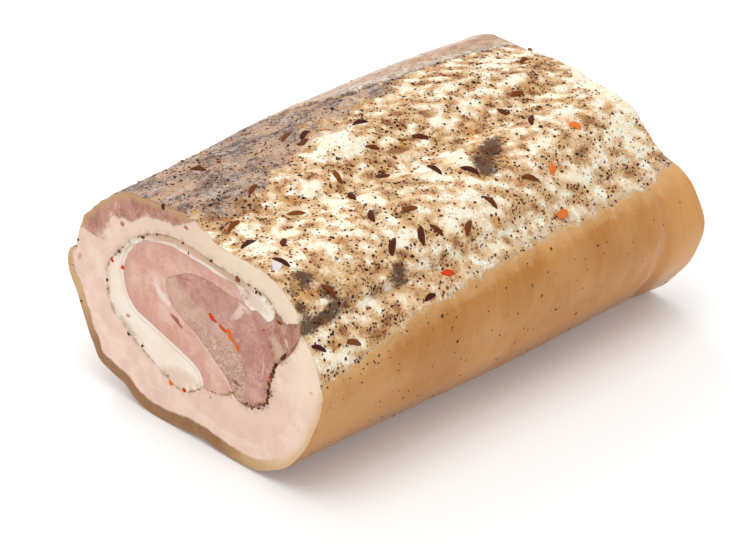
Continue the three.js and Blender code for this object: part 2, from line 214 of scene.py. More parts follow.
# around, spread, drift, along, reach, height, fade
SWELLS = [
    (122, 34, 0, 8, 62, 3.4, BODY_FADE),
    (325, 34, 0, 22, 62, 2.6, BODY_FADE),
    (268, 18, 0, 30, 75, 2.4, BODY_FADE),
    (29, 17, 0, 92, 62, -9, BODY_FADE),
    (109, 22.5, 0, 98, 36, -5.9, END_FADE),
    (56, 10, 0, 84, 26, -1.4, END_FADE),
    (352, 20, 0, 84, 20, 3.7, END_FADE),
    (312, 16, 0, 84, 20, 3.4, END_FADE),
    (342, 34, 0, STRING_ALONG, 2.2, -1.5, SKIN_FADE),
    (22, 3.4, -3, -30, 60, -1.9, SKIN_FADE),
    (3, 6, 11, 60, 95, 1.1, SKIN_FADE),
    (126, 16, -8, 84, 34, 1.3, SKIN_FADE),
    (91, 8.8, -6, 78, 38, -1.1, SKIN_FADE),
    (91, 7, 0, -16, 9, 1.3, SKIN_FADE),
    (75, 8, 0, -36, 9, 1.1, SKIN_FADE),
    (55, 8, 0, -24, 8, 0.9, SKIN_FADE),
    (54, 8, 0, 9, 9, 1.2, SKIN_FADE),
    (46, 8, 0, -68, 8, 0.9, SKIN_FADE),
    (84, 7, 0, 52, 12, 1.3, SKIN_FADE),
    (49, 7, 0, 20, 9, -1.2, SKIN_FADE),
    (86, 6, 0, -58, 8, -1, SKIN_FADE),
    (29, 6, 0, -38, 11, -1.1, SKIN_FADE),
]


def wrapped(angle):
    """The same angle between -180 and 180."""
    return (angle + 180) % 360 - 180


def bump(offset, width):
    """A bell: 1 in the middle, 0.37 at one width from it."""
    return np.exp(-((offset / width) ** 2))


def polar(across, up):
    """Angle round the roll's middle in degrees (0 front, 90 top, 180 back) and distance from it."""
    return np.degrees(np.arctan2(up - AXIS_UP, -across)), np.hypot(across, up - AXIS_UP)


_angles, _radii = polar(*np.vstack([smooth(CURVES[name])[:-1] for name in OUTSIDE]).T)
_order = np.argsort(_angles)
_angles, _radii = _angles[_order], _radii[_order]


def outer_radius(around):
    """The outline's distance from the middle at each angle, read off the section's outside curves."""
    angles = np.concatenate([_angles[-1:] - 360, _angles, _angles[:1] + 360])
    return np.interp(wrapped(around), angles, np.concatenate([_radii[-1:], _radii, _radii[:1]]))


def waves(points, size, seed, count=26):
    """Smooth random ground of about unit height: a sum of plane waves about `size` long, each in a random
    direction and phase, over the root of half their number."""
    draw = np.random.default_rng(seed)
    points = np.asarray(points, float)
    direction = draw.normal(size=(count, points.shape[-1]))
    direction /= np.linalg.norm(direction, axis=1, keepdims=True)
    number = 2 * np.pi / (size * draw.uniform(0.7, 1.6, count))
    phase = draw.uniform(0, 2 * np.pi, count)
    return np.cos(points @ (direction * number[:, None]).T + phase).sum(-1) / np.sqrt(count / 2)


print("outline: from", _radii.min().round(1), "to", _radii.max().round(1), "mm from the middle")


# %% [markdown]
# ## Where skin, fat and lean show on the outside
#
# Three things meet on the outside: the brown rind, which covers the front, the underside and the back; the
# cream fat of the top; and a band of stained lean along the back of the top. Their borders wander. Each is
# a line of (along, around) places, and every point of the surface then knows its distance to it in
# millimetres. A distance, unlike a mask, stays sharp however far apart the mesh's points are.

# %% Borders on the outside
DEGREE = 0.87  # millimetres that one degree spans on the outside
FRONT_EDGE = [(-75, 3.5), (-70, 5.5), (-60, 7.5), (-50, 9), (-45, 10.8), (-38, 12.3), (-20, 13.5),
              (-10, 14.3), (20, 15.8), (50, 15), (60, 15.3), (68, 16.8), (75, 18)]
BACK_EDGE = [(-75, 173), (-40, 152), (-15, 131), (0, 122), (10, 119), (20, 117), (45, 116.5), (75, 114)]
LEAN_EDGE = [(-75, 86), (-70, 88), (-64, 86), (-58, 84.5), (-52, 88), (-47, 92), (-42, 95), (-36, 97.5),
             (-31, 100), (-24, 103), (-14, 105.5), (-6, 106), (0, 109), (10, 113), (20, 119), (75, 126)]
GREY_BAND = [(-75, 23), (-66, 24), (-58, 24), (-45, 23), (-36, 23), (-28, 20.5), (-15, 18.5), (75, 17.5)]
# along, around, reach along, reach around in degrees, strength: clean lumps of fat
CLEAN = [(-17, 93, 6, 9, 3.2), (-27, 94, 4, 4, 1.2), (-36, 63, 3.2, 4.2, 3), (-38, 76, 5, 4, 1.6),
         (-26, 52.5, 3, 4, 1.8), (8, 54, 3.4, 6, 3), (-4, 57, 4, 7, 1.6), (-67, 57, 3.6, 5, 2.4),
         (-56, 58, 6, 2.6, 2), (16, 80, 4, 4, 1.8), (27, 82, 3, 3, 1.6), (56, 100.5, 6, 4, 2.4),
         (68, 103, 6, 4, 1.4), (49, 83, 5, 3, 1.8), (47, 57, 5, 3, 1.6), (55, 54, 4, 4, 1.5),
         (73, 58, 4, 20, 2.6), (66, 34, 6, 9, 1.8), (31, 95, 4, 3, 1.6), (22, 103, 4, 4, 1),
         (-31, 37, 5, 4, 1.5), (-40, 50, 5, 5, 1.2), (0, 36, 8, 8, 1.3), (-12, 38, 6, 6, 1),
         (36, 30, 4, 3, 1.2), (35, 46, 5, 4, 1.4), (25, 46, 3, 3, 1), (-54, 44, 6, 5, 0.8),
         (10, 22, 12, 3, 1), (-63, 70, 5, 5, 0.9), (60, 66, 6, 5, 0.7), (38, 84, 5, 5, 0.8),
         (45, 26, 6, 4, 1), (-68, 14, 8, 5, 1.2)]
# the same for places where the brown film is thick
BROWN = [(-60, 82, 12, 3.6, 1.3), (-12, 75, 14, 6, 0.9), (-14, 56, 6, 9, 0.8), (6, 90, 9, 6, 1.1),
         (16, 67, 9, 5, 0.7), (18, 50, 7, 7, 1.8), (41, 63, 5, 4, 1), (52, 76, 9, 4, 1.3),
         (67, 90, 8, 8, 1.1), (58, 45, 4, 3, 1.2), (44, 35, 4, 3, 1.1), (14, 27, 8, 3, 0.9),
         (28, 70, 6, 5, 0.8), (-29, 47, 4, 4, 0.9), (-21, 44, 4, 3, 1.2), (62, 20, 6, 3, 0.9),
         (-74, 48, 2, 10, 0.9), (37, 97, 3, 9, 0.9), (-55, 15, 16, 2.6, 0.9), (-50, 32, 14, 5, 0.6),
         (-70, 38, 4, 3, 0.9)]
# the same for the dark, wet, blue-grey smears
GREY = [(12, 46, 4.4, 4.4, 2.2), (23, 55, 4.4, 4.2, 2), (17, 51, 5.5, 5, 1.6), (-58, 86, 3.6, 3.4, 2),
        (-36, 26, 4, 5, 1.7), (-66, 23, 9, 3, 1.7), (-62, 30.5, 3.4, 4, 1.9), (-67, 38, 3.8, 4.6, 1.8),
        (-73, 31, 2.4, 7, 1.5), (-30, 48.5, 2.6, 2.6, 1.3), (-22, 44, 3, 2.2, 1.5), (51, 76, 5, 2, 0.9),
        (57, 73, 3, 2, 0.8), (44, 35, 2.6, 2, 0.9), (58, 44.5, 2.6, 2, 0.6), (-44, 24, 6, 3.4, 0.7),
        (38, 51, 2.4, 2, 0.7), (-10, 68, 5, 6, 0.4), (63, 80, 4, 3, 0.8), (68, 99, 5, 2.4, 0.7),
        (-23, 22.5, 5, 2.4, 0.7)]


def line_at(line, along):
    """The border's angle at each place along the roll."""
    return np.interp(along, *np.array(line, float).T)


def patches(table, along, around):
    """The sum of soft spots, each a bell over (along, around)."""
    return sum(s * bump(along - a, ra) * bump(wrapped(around - b), rb) for a, b, ra, rb, s in table)


def borders(along, around):
    """Distances in mm, positive inside: rind (between its front and back edges) and lean (behind its edge),
    and the two stains as strengths: film, the brown spice on the fat, and grey, the dark wet smears."""
    turn = np.where(around % 360 < 60, around % 360 + 360, around % 360)
    rough = np.stack([along, turn * DEGREE], -1)
    wander = 0.35 * waves(rough, 9, 11) + 0.3 * waves(rough, 3.2, 12)
    rind = np.minimum(turn - line_at(BACK_EDGE, along), 360 + line_at(FRONT_EDGE, along) - turn) * DEGREE
    lean = (turn - line_at(LEAN_EDGE, along)) * DEGREE
    lean = np.where(turn > 200, -30, lean)
    film = 0.55 * waves(rough, 9, 21) + 0.5 * waves(rough, 4.2, 22) + 0.3
    film = film + patches(BROWN, along, around) - patches(CLEAN, along, around)
    strip = line_at(GREY_BAND, along)
    band = bump(wrapped(around - strip) * DEGREE, 2.6) * np.clip(0.7 - (along + 75) / 80, 0.1, 0.6)
    grey = band + patches(GREY, along, around) + 0.2 * waves(rough * (0.5, 1), 4, 23) - 0.5
    return rind + wander * 0.6, lean + wander * 1.6, film, grey


# %% [markdown]
# ## The skin's fine height, and the bend
#
# Cooked fat is lumpy: clean lumps stand high, spiced hollows lie low, and thin creases run between them.
# These heights are in the mesh, not only in the material, because they show at the outline. One function
# then bends the straight roll into the real one, with the swells and this relief, and says how far the
# frame lies from it.


# %% Relief and bend
def relief(along, around):
    """Fine height of the outside in mm: clean fat stands high and spiced hollows lie low, thin creases run
    where a slow wave crosses zero, the rind is nearly smooth, and its edges stand a little proud."""
    rind, lean, film, grey = borders(along, around)
    spread = np.stack([along * 0.7, around * DEGREE], -1)
    crease = bump(waves(spread, 14, 31), 0.16)
    fat_height = 0.05 * waves(spread, 2.6, 32) - 0.12 * np.clip(film, -2, 2) - 0.22 * crease
    fat_height = fat_height - 0.1 * np.clip(grey, 0, 1)
    streaks = np.stack([along * 0.4, around * DEGREE], -1)
    lean_height = 0.12 * waves(streaks, 4.2, 33) + 0.07 * waves(streaks, 1.9, 34)
    is_rind, is_lean = np.clip(rind + 0.5, 0, 1), np.clip(lean / 2 + 0.5, 0, 1)
    top = fat_height * (1 - is_lean) + lean_height * is_lean
    ring = 23 * np.stack([np.cos(np.radians(around)), np.sin(np.radians(around))])
    rind_height = 0.06 * waves(np.stack([along, *ring], -1), 5, 35)
    front_lip = 0.5 * (around % 360 < 60) * np.clip((16 - rind) / 8, 0, 1)
    back_lip = 0.7 * is_lean * np.clip((19 - rind) / 15, 0, 1)
    lip = np.clip(rind, 0, 1) * (front_lip + back_lip)
    return top * (1 - is_rind) + rind_height * is_rind + lip


def bent(along, across, up):
    """Where a point of the straight roll comes to lie, in mm: its distance from the middle grows by every
    swell, each less the deeper the point lies; the base is pressed flat; and the last slices lean."""
    around, radius = polar(across, up)
    depth = np.minimum(1, radius / outer_radius(around))
    swollen = sum(
        height * bump(wrapped(around - middle - drift * (along / LENGTH + 0.5)), spread)
        * bump(along - at, reach) * depth**fade
        for middle, spread, drift, at, reach, height, fade in SWELLS)
    swollen = swollen + relief(along, around) * depth**40
    scale = (radius + swollen) / np.maximum(radius, 1e-6)
    y, z = across * scale, np.maximum(0, AXIS_UP + (up - AXIS_UP) * scale)
    share = np.clip((along - LEAN_START) / (LENGTH / 2 - LEAN_START), 0, 1)
    return np.stack([along - share * (LEAN_ACROSS * y + LEAN_UP * (z - AXIS_UP)), y, z], -1)


def on_outside(along, around):
    """The place on the outside at (along, around), in the bent roll's mm."""
    radius, angle = outer_radius(around), np.radians(around)
    return bent(along, -radius * np.cos(angle), AXIS_UP + radius * np.sin(angle))


slab_low, slab_high = (np.array(corner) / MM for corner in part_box("belly_slab"))
_grid = on_outside(*np.meshgrid(np.linspace(-75, 75, 61), np.linspace(90, 270, 361), indexing="ij"))
SHIFT = np.array([slab_low[0] + LENGTH / 2, slab_high[1] - _grid[..., 1].max(), 0])
print("the roll's middle is moved by", SHIFT.round(2), "mm")

# %% [markdown]
# ## From arrays to a mesh
#
# Blender takes a mesh as flat lists: places, corners and where each face starts. Handing whole arrays over
# with foreach_set is hundreds of times faster than adding faces one by one. Attributes go the same way:
# numbers that each point carries, which a material can read.


# %% Mesh helpers
SHARP = 50  # degrees between two faces beyond which their edge is left sharp


def added(name, data):
    """A new object with that data, in the scene."""
    thing = bpy.data.objects.new(name, data)
    bpy.context.scene.collection.objects.link(thing)
    return thing


def make_piece(name, points, faces, carried, replaces=()):
    """One mesh object from points in bent mm, and faces as a list of arrays with 3 or 4 columns."""
    mesh = bpy.data.meshes.new(name)
    points = (np.asarray(points, float) + SHIFT) * MM
    corners = np.concatenate([f.ravel() for f in faces]).astype(np.int32)
    sizes = np.concatenate([np.full(len(f), f.shape[1]) for f in faces])
    mesh.vertices.add(len(points))
    mesh.vertices.foreach_set("co", points.astype(np.float32).ravel())
    mesh.loops.add(len(corners))
    mesh.loops.foreach_set("vertex_index", corners)
    mesh.polygons.add(len(sizes))
    mesh.polygons.foreach_set("loop_start", np.concatenate([[0], np.cumsum(sizes)[:-1]]).astype(np.int32))
    mesh.update(calc_edges=True)
    mesh.validate()
    mesh.polygons.foreach_set("use_smooth", np.ones(len(mesh.polygons), bool))
    mesh.set_sharp_from_angle(angle=radians(SHARP))
    for key, values in carried.items():
        values = np.asarray(values, np.float32)
        kind, field = ("FLOAT_VECTOR", "vector") if values.ndim == 2 else ("FLOAT", "value")
        mesh.attributes.new(key, kind, "POINT").data.foreach_set(field, values.ravel())
    piece = added(name, mesh)
    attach(piece, "root")
    if replaces:
        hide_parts(*replaces)
    print(f"{name}: {len(points)} points, {int((sizes - 2).sum())} triangles")
    return piece


def tube(rows, turns):
    """Faces between `rows` closed rings of `turns` points: one quad for each step round and each step on."""
    i, j = np.meshgrid(np.arange(rows - 1), np.arange(turns), indexing="ij")
    here, there, after = i * turns, (i + 1) * turns, (j + 1) % turns
    return np.stack([here + j, here + after, there + after, there + j], -1).reshape(-1, 4)


# %% [markdown]
# ## A layer as a band
#
# Every layer of the section is a band between two sides, A and B, that start and end at the same place,
# like the two edges of a crescent. Swept along the roll, the closed loop of both sides makes its skin. The
# two cut faces are ruled from A to B. Near a cut the loop draws in along a quarter circle, so that each
# layer ends in the soft edge of cut meat, and a fine groove is left between two layers.


# %% The band's parts
def signed_area(loop):
    """Twice the area inside a closed loop, and negative where the loop runs clockwise."""
    return (loop[:, 0] * np.roll(loop[:, 1], -1) - np.roll(loop[:, 0], -1) * loop[:, 1]).sum()


def inward(loop):
    """Unit normals of a closed loop that point into it: the chord from the point before to the point after,
    turned by a right angle to the side where the loop's area lies."""
    chord = np.roll(loop, -1, 0) - np.roll(loop, 1, 0)
    chord /= np.maximum(np.linalg.norm(chord, axis=1, keepdims=True), 1e-9)
    return np.stack([-chord[:, 1], chord[:, 0]], -1) * np.sign(signed_area(loop))


def slice_places(shows):
    """Distances from the near cut: close together where the edge is round, then even."""
    edge = np.array([0, 0.04, 0.1, EDGE_ROUND, 0.9])
    count = int(round((LENGTH - 2 * edge[-1]) / SLICE)) if shows else HIDDEN_SLICES
    even = np.linspace(edge[-1], LENGTH - edge[-1], count + 1)
    return np.concatenate([edge[:-1], even, LENGTH - edge[-2::-1]])


def cut_face(count, rings, first_ring, first_inner):
    """Triangles of a cut face, from its points' numbers over (count, rings + 1): side A, the ruled rows,
    side B. At both ends of the band the two sides are one point, so the triangles that vanish there are left
    out."""
    index = np.empty((count, rings + 1), int)
    index[:, 0] = first_ring + np.arange(count)
    index[:, -1] = first_ring + np.concatenate([[0], 2 * (count - 1) - np.arange(1, count - 1), [count - 1]])
    index[0], index[-1] = first_ring, first_ring + count - 1
    index[1:-1, 1:-1] = first_inner + np.arange((count - 2) * (rings - 1)).reshape(count - 2, rings - 1)
    p, q, r, s = index[:-1, :-1], index[1:, :-1], index[1:, 1:], index[:-1, 1:]
    halves = np.concatenate([np.stack(three, -1).reshape(-1, 3) for three in ([p, q, r], [p, r, s])])
    real = (halves[:, 0] != halves[:, 1]) & (halves[:, 1] != halves[:, 2]) & (halves[:, 0] != halves[:, 2])
    return halves[real]


# the seams that a cut face's colours look for, as the curves each is made of
SEAMS = {
    "to_spice": ("seamRound", "seamTongue", "seamUnderLean", "seamUnderCoreLeft", "seamUnderCoreRight",
                 "seamUnderFlap"),
    "to_cap": ("capInside",), "to_lean": ("fatToLean",), "to_core": ("leanToCoreTop", "leanToCoreLow"),
    "to_fold": ("coreFold",),
}
# around, thickness of the rind in mm
RIND_THICK = [(-180, 3), (-170, 3.8), (-156, 3.8), (-143, 4.3), (-118, 4.5), (-98, 4.7), (-73, 4.5), (-50, 3.9),
              (-33, 3.5), (-19, 3), (-4, 3), (20, 2.6), (180, 2.8)]
HIDDEN_SLICES = 12  # of a layer that shows only at the cuts
ON_CURVE = 0.08  # mm: a loop's point this near to an outside curve belongs to it
print("seams that the cuts look for:", len(SEAMS))

# %% [markdown]
# ## The seven layers
#
# The skin of a layer is the same loop again and again, so its faces are a plain tube. A cut face gets a few
# rows of its own, with the low waves of sliced meat. Every point carries what the materials need: its
# place, its distances to the seams, and the stains of the outside.


# %% The band
def layer(name, node, slot, a, b, count, rings, shows):
    """The closed band between sides a and b, each `count` points, with `rings` rows on each cut face. It
    takes the place of the solid `node`."""
    (side_a, soft_a), (side_b, soft_b) = side(a, count), side(b, count)
    loop, soft = np.vstack([side_a, side_b[-2:0:-1]]), np.concatenate([soft_a, soft_b[-2:0:-1]])
    from_near = slice_places(shows)
    size, slices = len(loop), len(from_near)
    to_cut = np.minimum(from_near, LENGTH - from_near)[:, None]
    drawn = soft - np.sqrt(np.maximum(0, soft**2 - np.maximum(0, soft - to_cut) ** 2))
    inset = np.where(nearest(loop, OUTSIDE) < ON_CURVE, 0, SEAM_INSET)
    section = loop[None] + inward(loop)[None] * (inset + drawn)[..., None]
    along = np.repeat((from_near - LENGTH / 2)[:, None], size, 1)

    # the two cut faces, ruled from A to B with rows closer together at both sides
    share = (1 - np.cos(np.pi * np.arange(1, rings) / rings)) / 2
    ring_a, ring_b = section[0, :count], np.vstack([section[0, :1], section[0, :count - 2:-1]])
    face = (ring_a[1:-1, None] * (1 - share)[:, None] + ring_b[1:-1, None] * share[:, None]).reshape(-1, 2)
    width = np.linalg.norm(side_a - side_b, axis=1)[1:-1, None]
    raised = 0.16 * waves(face, 8, 41) + 0.05 * waves(face, 2.6, 42)
    raised = raised * np.clip(np.minimum(width * share, width * (1 - share)).ravel() / 1.2, 0, 1)
    run = np.concatenate([[0], np.cumsum(np.linalg.norm(np.diff(side_a, axis=0), axis=1))])
    face_run = np.repeat(run[1:-1], len(share))
    flat = np.vstack([section.reshape(-1, 2), face, face])
    place_along = np.concatenate([along.ravel(), -LENGTH / 2 - raised, LENGTH / 2 + raised])

    quads = tube(slices, size)
    near = cut_face(count, rings, 0, slices * size)
    far = cut_face(count, rings, (slices - 1) * size, slices * size + len(face))[:, ::-1]
    if signed_area(loop) < 0:
        quads = quads[:, ::-1]
    else:
        near, far = near[:, ::-1], far[:, ::-1]

    def to(names):
        """Distances to the named curves: the same round every slice, and on both faces."""
        return np.concatenate([np.tile(nearest(loop, names), slices), *[nearest(face, names)] * 2])

    around, _ = polar(flat[:, 0], flat[:, 1])
    rind, lean, film, grey = borders(place_along, around)
    depth = to(OUTSIDE)
    thick = np.interp(around, *np.array(RIND_THICK, float).T) * np.clip((rind + 0.5) / 7, 0, 1) ** 0.6
    to_start = np.concatenate([np.tile(np.concatenate([run, run[-2:0:-1]]), slices), face_run, face_run])
    carried = {
        "place": np.stack([place_along, *flat.T], -1), "grain": np.stack([to_start, depth, place_along], -1),
        "around": around, "depth": depth, "crust": thick - depth, "rind": rind, "lean": lean, "film": film,
        "grey": grey, "cut": np.concatenate([np.repeat(to_cut.ravel(), size), np.zeros(2 * len(face))]),
        **{key: to(names) for key, names in SEAMS.items()},
    }
    return make_piece(name, bent(place_along, *flat.T), [quads, near, far], carried, (node,))


# name, the solid that it replaces, slot, sides A and B, points on a side, rows on a cut, shows outside
LAYERS = [
    ("rolled_belly", "belly_slab", "rind_and_fat", ["skin", "capInside", "bareFat"],
     ["-seamUnderFlap", "-seamUnderCoreRight", "-seamUnderCoreLeft", "-seamUnderLean", "-seamRound",
      "-seamTongue"], 266, 16, True),
    ("top_lean", "cap_lean", "stained_lean", ["capOutside"], ["capInside"], 90, 9, True),
    ("front_flap", "flap_lean", "pale_lean", ["seamUnderFlap", "-flapOutside", "seamTongue"],
     ["coreToFlap", "-wedgeToFlap"], 40, 12, True),
    ("fat_ring", "inner_fat", "white_fat", ["seamRound"], ["wedgeToFlap", "wedgeToCore", "-fatToLean"],
     220, 10, False),
    ("lean_fold", "folded_lean", "pink_lean", ["-fatToLean", "seamUnderLean"],
     ["leanToCoreTop", "leanToCoreLow"], 170, 14, False),
    ("coarse_core", "core_coarse_lean", "coarse_lean", ["leanToCoreLow", "seamUnderCoreLeft"], ["coreFold"],
     80, 16, False),
    ("fine_core", "core_fine_lean", "fine_lean", ["coreFold"],
     ["-leanToCoreTop", "-wedgeToCore", "-coreToFlap", "-seamUnderCoreRight"], 100, 18, False),
]
pieces = {row[0]: layer(*row) for row in LAYERS}

# %% [markdown]
# ## A small language for materials
#
# A material is a sum: a cream colour, browned where the film of spice is thick, darkened by specks. Wiring
# that by hand takes hundreds of lines, so one class wraps a node's output and lets it be written as
# arithmetic, and another adds every other node from its type, its settings and its inputs.


# %% Writing shader maths as sums
class Wire:
    """One output of a node. Arithmetic on it adds Math nodes and gives their outputs."""

    def __init__(self, finish, socket):
        self.finish, self.socket = finish, socket

    def math(self, operation, *terms):
        return self.finish.add("ShaderNodeMath", {"operation": operation}, dict(enumerate(terms)))

    def __add__(self, other):
        return self.math("ADD", self, other)

    def __mul__(self, other):
        return self.math("MULTIPLY", self, other)

    def __sub__(self, other):
        return self.math("SUBTRACT", self, other)

    def __rsub__(self, other):
        return self.math("SUBTRACT", other, self)

    __radd__, __rmul__ = __add__, __mul__

    def most(self, other):
        return self.math("MAXIMUM", self, other)

    def size(self):
        return self.math("ABSOLUTE", self)

    def rise(self, low, high):
        """0 below low, 1 above high, and a smooth step between."""
        return self.finish.add("ShaderNodeMapRange", {"interpolation_type": "SMOOTHSTEP"},
                               {"Value": self, "From Min": low, "From Max": high})

    def fall(self, low, high):
        """1 below low, 0 above high."""
        return 1 - self.rise(low, high)

    def near(self, within, beyond):
        """1 where the value is nearer to 0 than `within`, and 0 where it is further than `beyond`."""
        return self.size().fall(within, beyond)


SHEEN = 0.035  # linear light that the moist surface adds to every colour
DARKEST = 0.004


def tone(red, green, blue):
    """A colour as a photo gives it, 0 to 255, in the linear light that shaders use, less the surface's
    sheen."""
    part = np.array([red, green, blue]) / 255
    linear = np.where(part > 0.04045, ((part + 0.055) / 1.055) ** 2.4, part / 12.92)
    return (*np.maximum(linear - SHEEN, DARKEST).tolist(), 1.0)


ALONG, ACROSS, UP = 0, 1, 2


class Finish:
    """A material under construction around one Principled shader."""

    def __init__(self, name):
        self.material = bpy.data.materials.new(name)
        self.material.use_nodes = True
        self.tree = self.material.node_tree
        self.shader = next(n for n in self.tree.nodes if n.type == "BSDF_PRINCIPLED")

    def add(self, kind, settings=None, sockets=None, output=0):
        node = self.tree.nodes.new(kind)
        for key, value in (settings or {}).items():
            setattr(node, key, value)
        for key, value in (sockets or {}).items():
            self.join(node, key, value)
        outputs = {s.identifier: s for s in node.outputs}
        return Wire(self, outputs[output] if isinstance(output, str) else node.outputs[output])

    def join(self, node, key, value):
        named = [s for s in node.inputs if key in (s.identifier, s.name)]
        socket = node.inputs[key] if isinstance(key, int) else named[0]
        if isinstance(value, Wire):
            self.tree.links.new(value.socket, socket)
        else:
            socket.default_value = value

    def carried(self, name, vector=False):
        """What the mesh's points carry under that name."""
        return self.add("ShaderNodeAttribute", {"attribute_name": name}, output="Vector" if vector else "Fac")

    def place(self, axis):
        """One part of the place in the straight roll, in mm."""
        return self.add("ShaderNodeSeparateXYZ", {}, {0: self.carried("place", True)}, axis)

    def stretched(self, vector, scale):
        return self.add("ShaderNodeVectorMath", {"operation": "MULTIPLY"}, {0: vector, 1: scale})

    def noise(self, vector, size, detail=3, roughness=0.55, warp=0.0):
        """Cloudy noise from 0 to 1 whose lumps are about `size` of the vector's units across."""
        return self.add("ShaderNodeTexNoise", {}, {
            "Vector": vector, "Scale": 1 / size, "Detail": detail, "Roughness": roughness, "Distortion": warp})

    def cells(self, vector, size):
        """Random cells about `size` across: each cell's own colour, and the distance to its middle."""
        colour = self.add("ShaderNodeTexVoronoi", {}, {"Vector": vector, "Scale": 1 / size}, "Color")
        return colour, Wire(self, colour.socket.node.outputs["Distance"])

    def part(self, colour, index):
        return self.add("ShaderNodeSeparateColor", {}, {0: colour}, index)

    def blend(self, share, under, over):
        """The colour `under`, covered by `over` where share is 1."""
        return self.add("ShaderNodeMix", {"data_type": "RGBA"}, {
            "Factor_Float": share, "A_Color": under, "B_Color": over}, "Result_Color")

    def coated(self, colour, *coats):
        """The colour under each coat in turn, a coat being its share and its colour."""
        for share, coat in coats:
            colour = self.blend(share, colour, coat)
        return colour

    def either(self, share, under, over):
        """A blend of two numbers."""
        return self.add("ShaderNodeMix", {"data_type": "FLOAT"}, {
            "Factor_Float": share, "A_Float": under, "B_Float": over}, "Result_Float")

    def bump(self, height):
        """Height in mm, read as a change of the surface's direction."""
        return self.add("ShaderNodeBump", {}, {"Height": height, "Distance": MM}, "Normal")

    def done(self, **sockets):
        for key, value in sockets.items():
            self.join(self.shader, key.replace("_", " "), value)
        return self.material


MEAT = {"Subsurface_Weight": 0.14, "Subsurface_Radius": (1.0, 0.7, 0.5), "Subsurface_Scale": 0.0014,
        "Specular_IOR_Level": 0.28, "Coat_Roughness": 0.14, "Coat_IOR": 1.38}


def specks(f, place, size, share, reach=0.3, soft=0.05):
    """Small dots, each at a random spot of its own cell: 1 inside a dot. Only the given share of the cells,
    from 0 to 1, has one, its radius is drawn from the cell's colour, and `soft` of a cell is the width of
    its edge."""
    shaken = f.add("ShaderNodeVectorMath", {"operation": "ADD"}, {0: place, 1: f.add(
        "ShaderNodeTexNoise", {}, {"Vector": place, "Scale": 2.2 / size}, "Color")})
    cell, away = f.cells(shaken, size)
    radius = f.part(cell, 1) * reach * 0.7 + reach * 0.3
    return (radius - away).rise(-soft / 2, soft) * (share - f.part(cell, 0)).rise(0, 0.02)


# %% [markdown]
# ## The outside: rind, spiced fat and stained lean
#
# One set of rules colours the whole outside, whichever layer it belongs to, since the same film of spice
# runs over them all. It starts from cream fat, browns it where the film lies, turns it to dark lean behind
# its border, and covers it with rind past the rind's edge. Noise is added to each distance before it is
# compared, so that the borders fray as real ones do.


# %% Colours of the outside
def ground(f):
    """What all of the outside shares: the distances and stains that its points carry, and clouds of five
    kinds. Dust, lump and wisp are three of the clouds, centred on 0."""
    place = f.carried("place", True)
    g = SimpleNamespace(place=place, along=f.place(ALONG), up=f.place(UP),
                        **{key: f.carried(key) for key in ("film", "grey", "rind", "lean", "around")})
    g.fine = f.noise(place, 0.9, 5, 0.7, 0.4)
    g.middle = f.noise(place, 3.4, 5, 0.66, 0.8)
    g.wisps = f.noise(f.stretched(place, (0.8, 1.1, 1.1)), 1.9, 4, 0.66, 1.3)
    g.slow = f.noise(place, 10, 3, 0.55)
    g.streak = f.noise(f.stretched(place, (0.35, 1, 1)), 1.7, 6, 0.7, 0.8)
    g.dust, g.lump, g.wisp = g.fine - 0.5, g.middle - 0.5, g.wisps - 0.5
    g.behind = (g.around + 20).size().rise(75, 105)
    return g


def spiced_fat(f, g):
    """Warm cream, clean on its lumps, with a brown film that thickens in the hollows, and dark wet
    smears."""
    coat = g.film + g.lump * 3.8 + g.wisp * 2.2 + g.dust * 1.6 + 0.2
    thin = g.film + g.lump * 2 + g.wisp * 3.6 + g.dust * 2.8 + 0.2
    wet = g.grey + g.dust * 1.8 + g.wisp * 2
    threads = (g.wisps - 0.52).near(0.004, 0.03) * coat.rise(-0.2, 1.2)
    amber = f.noise(g.place, 5.5, 3, 0.5).rise(0.55, 0.7) * coat.rise(-0.6, 0.6)
    return f.coated(
        f.blend(g.middle.rise(0.4, 0.64), tone(255, 250, 230), tone(255, 236, 202)),
        (coat.rise(-0.6, -0.35) * 0.45 + coat.rise(-0.5, 0.8) * 0.5, tone(234, 198, 153)),
        (thin.rise(0.2, 1.4) * 0.5, tone(202, 148, 94)),
        (thin.rise(1.2, 2.4) * 0.7, tone(138, 82, 44)),
        (threads * 0.4, tone(134, 78, 36)),
        (amber * 0.5, tone(218, 160, 88)),
        (wet.rise(0.05, 0.6) * 0.6, tone(172, 138, 100)),
        (wet.rise(0.5, 1.1) * 0.85, tone(88, 64, 48)))


def stained_meat(f, g):
    """Grey-brown and mauve, streaked along the muscle, with painted sheen over it in pale patches and
    a fine pale web.
    """
    broad = f.noise(f.stretched(g.place, (0.6, 1, 1)), 6, 4, 0.6)
    sheen_patches = f.noise(f.stretched(g.place, (0.5, 1.3, 1.3)), 4.5, 4, 0.7, 0.6)
    return f.coated(
        f.blend(g.streak.rise(0.38, 0.6), tone(106, 76, 58), tone(190, 158, 136)),
        (broad.rise(0.5, 0.58) * 0.65, tone(204, 164, 128)),
        (broad.fall(0.4, 0.5) * 0.65, tone(94, 74, 66)),
        # the next two coats are painted sheen: pale patches, and a fine pale web of threads
        (sheen_patches.rise(0.55, 0.66) * 0.55, tone(206, 196, 192)),
        (g.wisp.near(0.004, 0.035) * 0.6, tone(218, 205, 194)),
        ((g.fine * 0.5 + g.streak * 0.5).rise(0.55, 0.63) * 0.65, tone(60, 42, 36)))


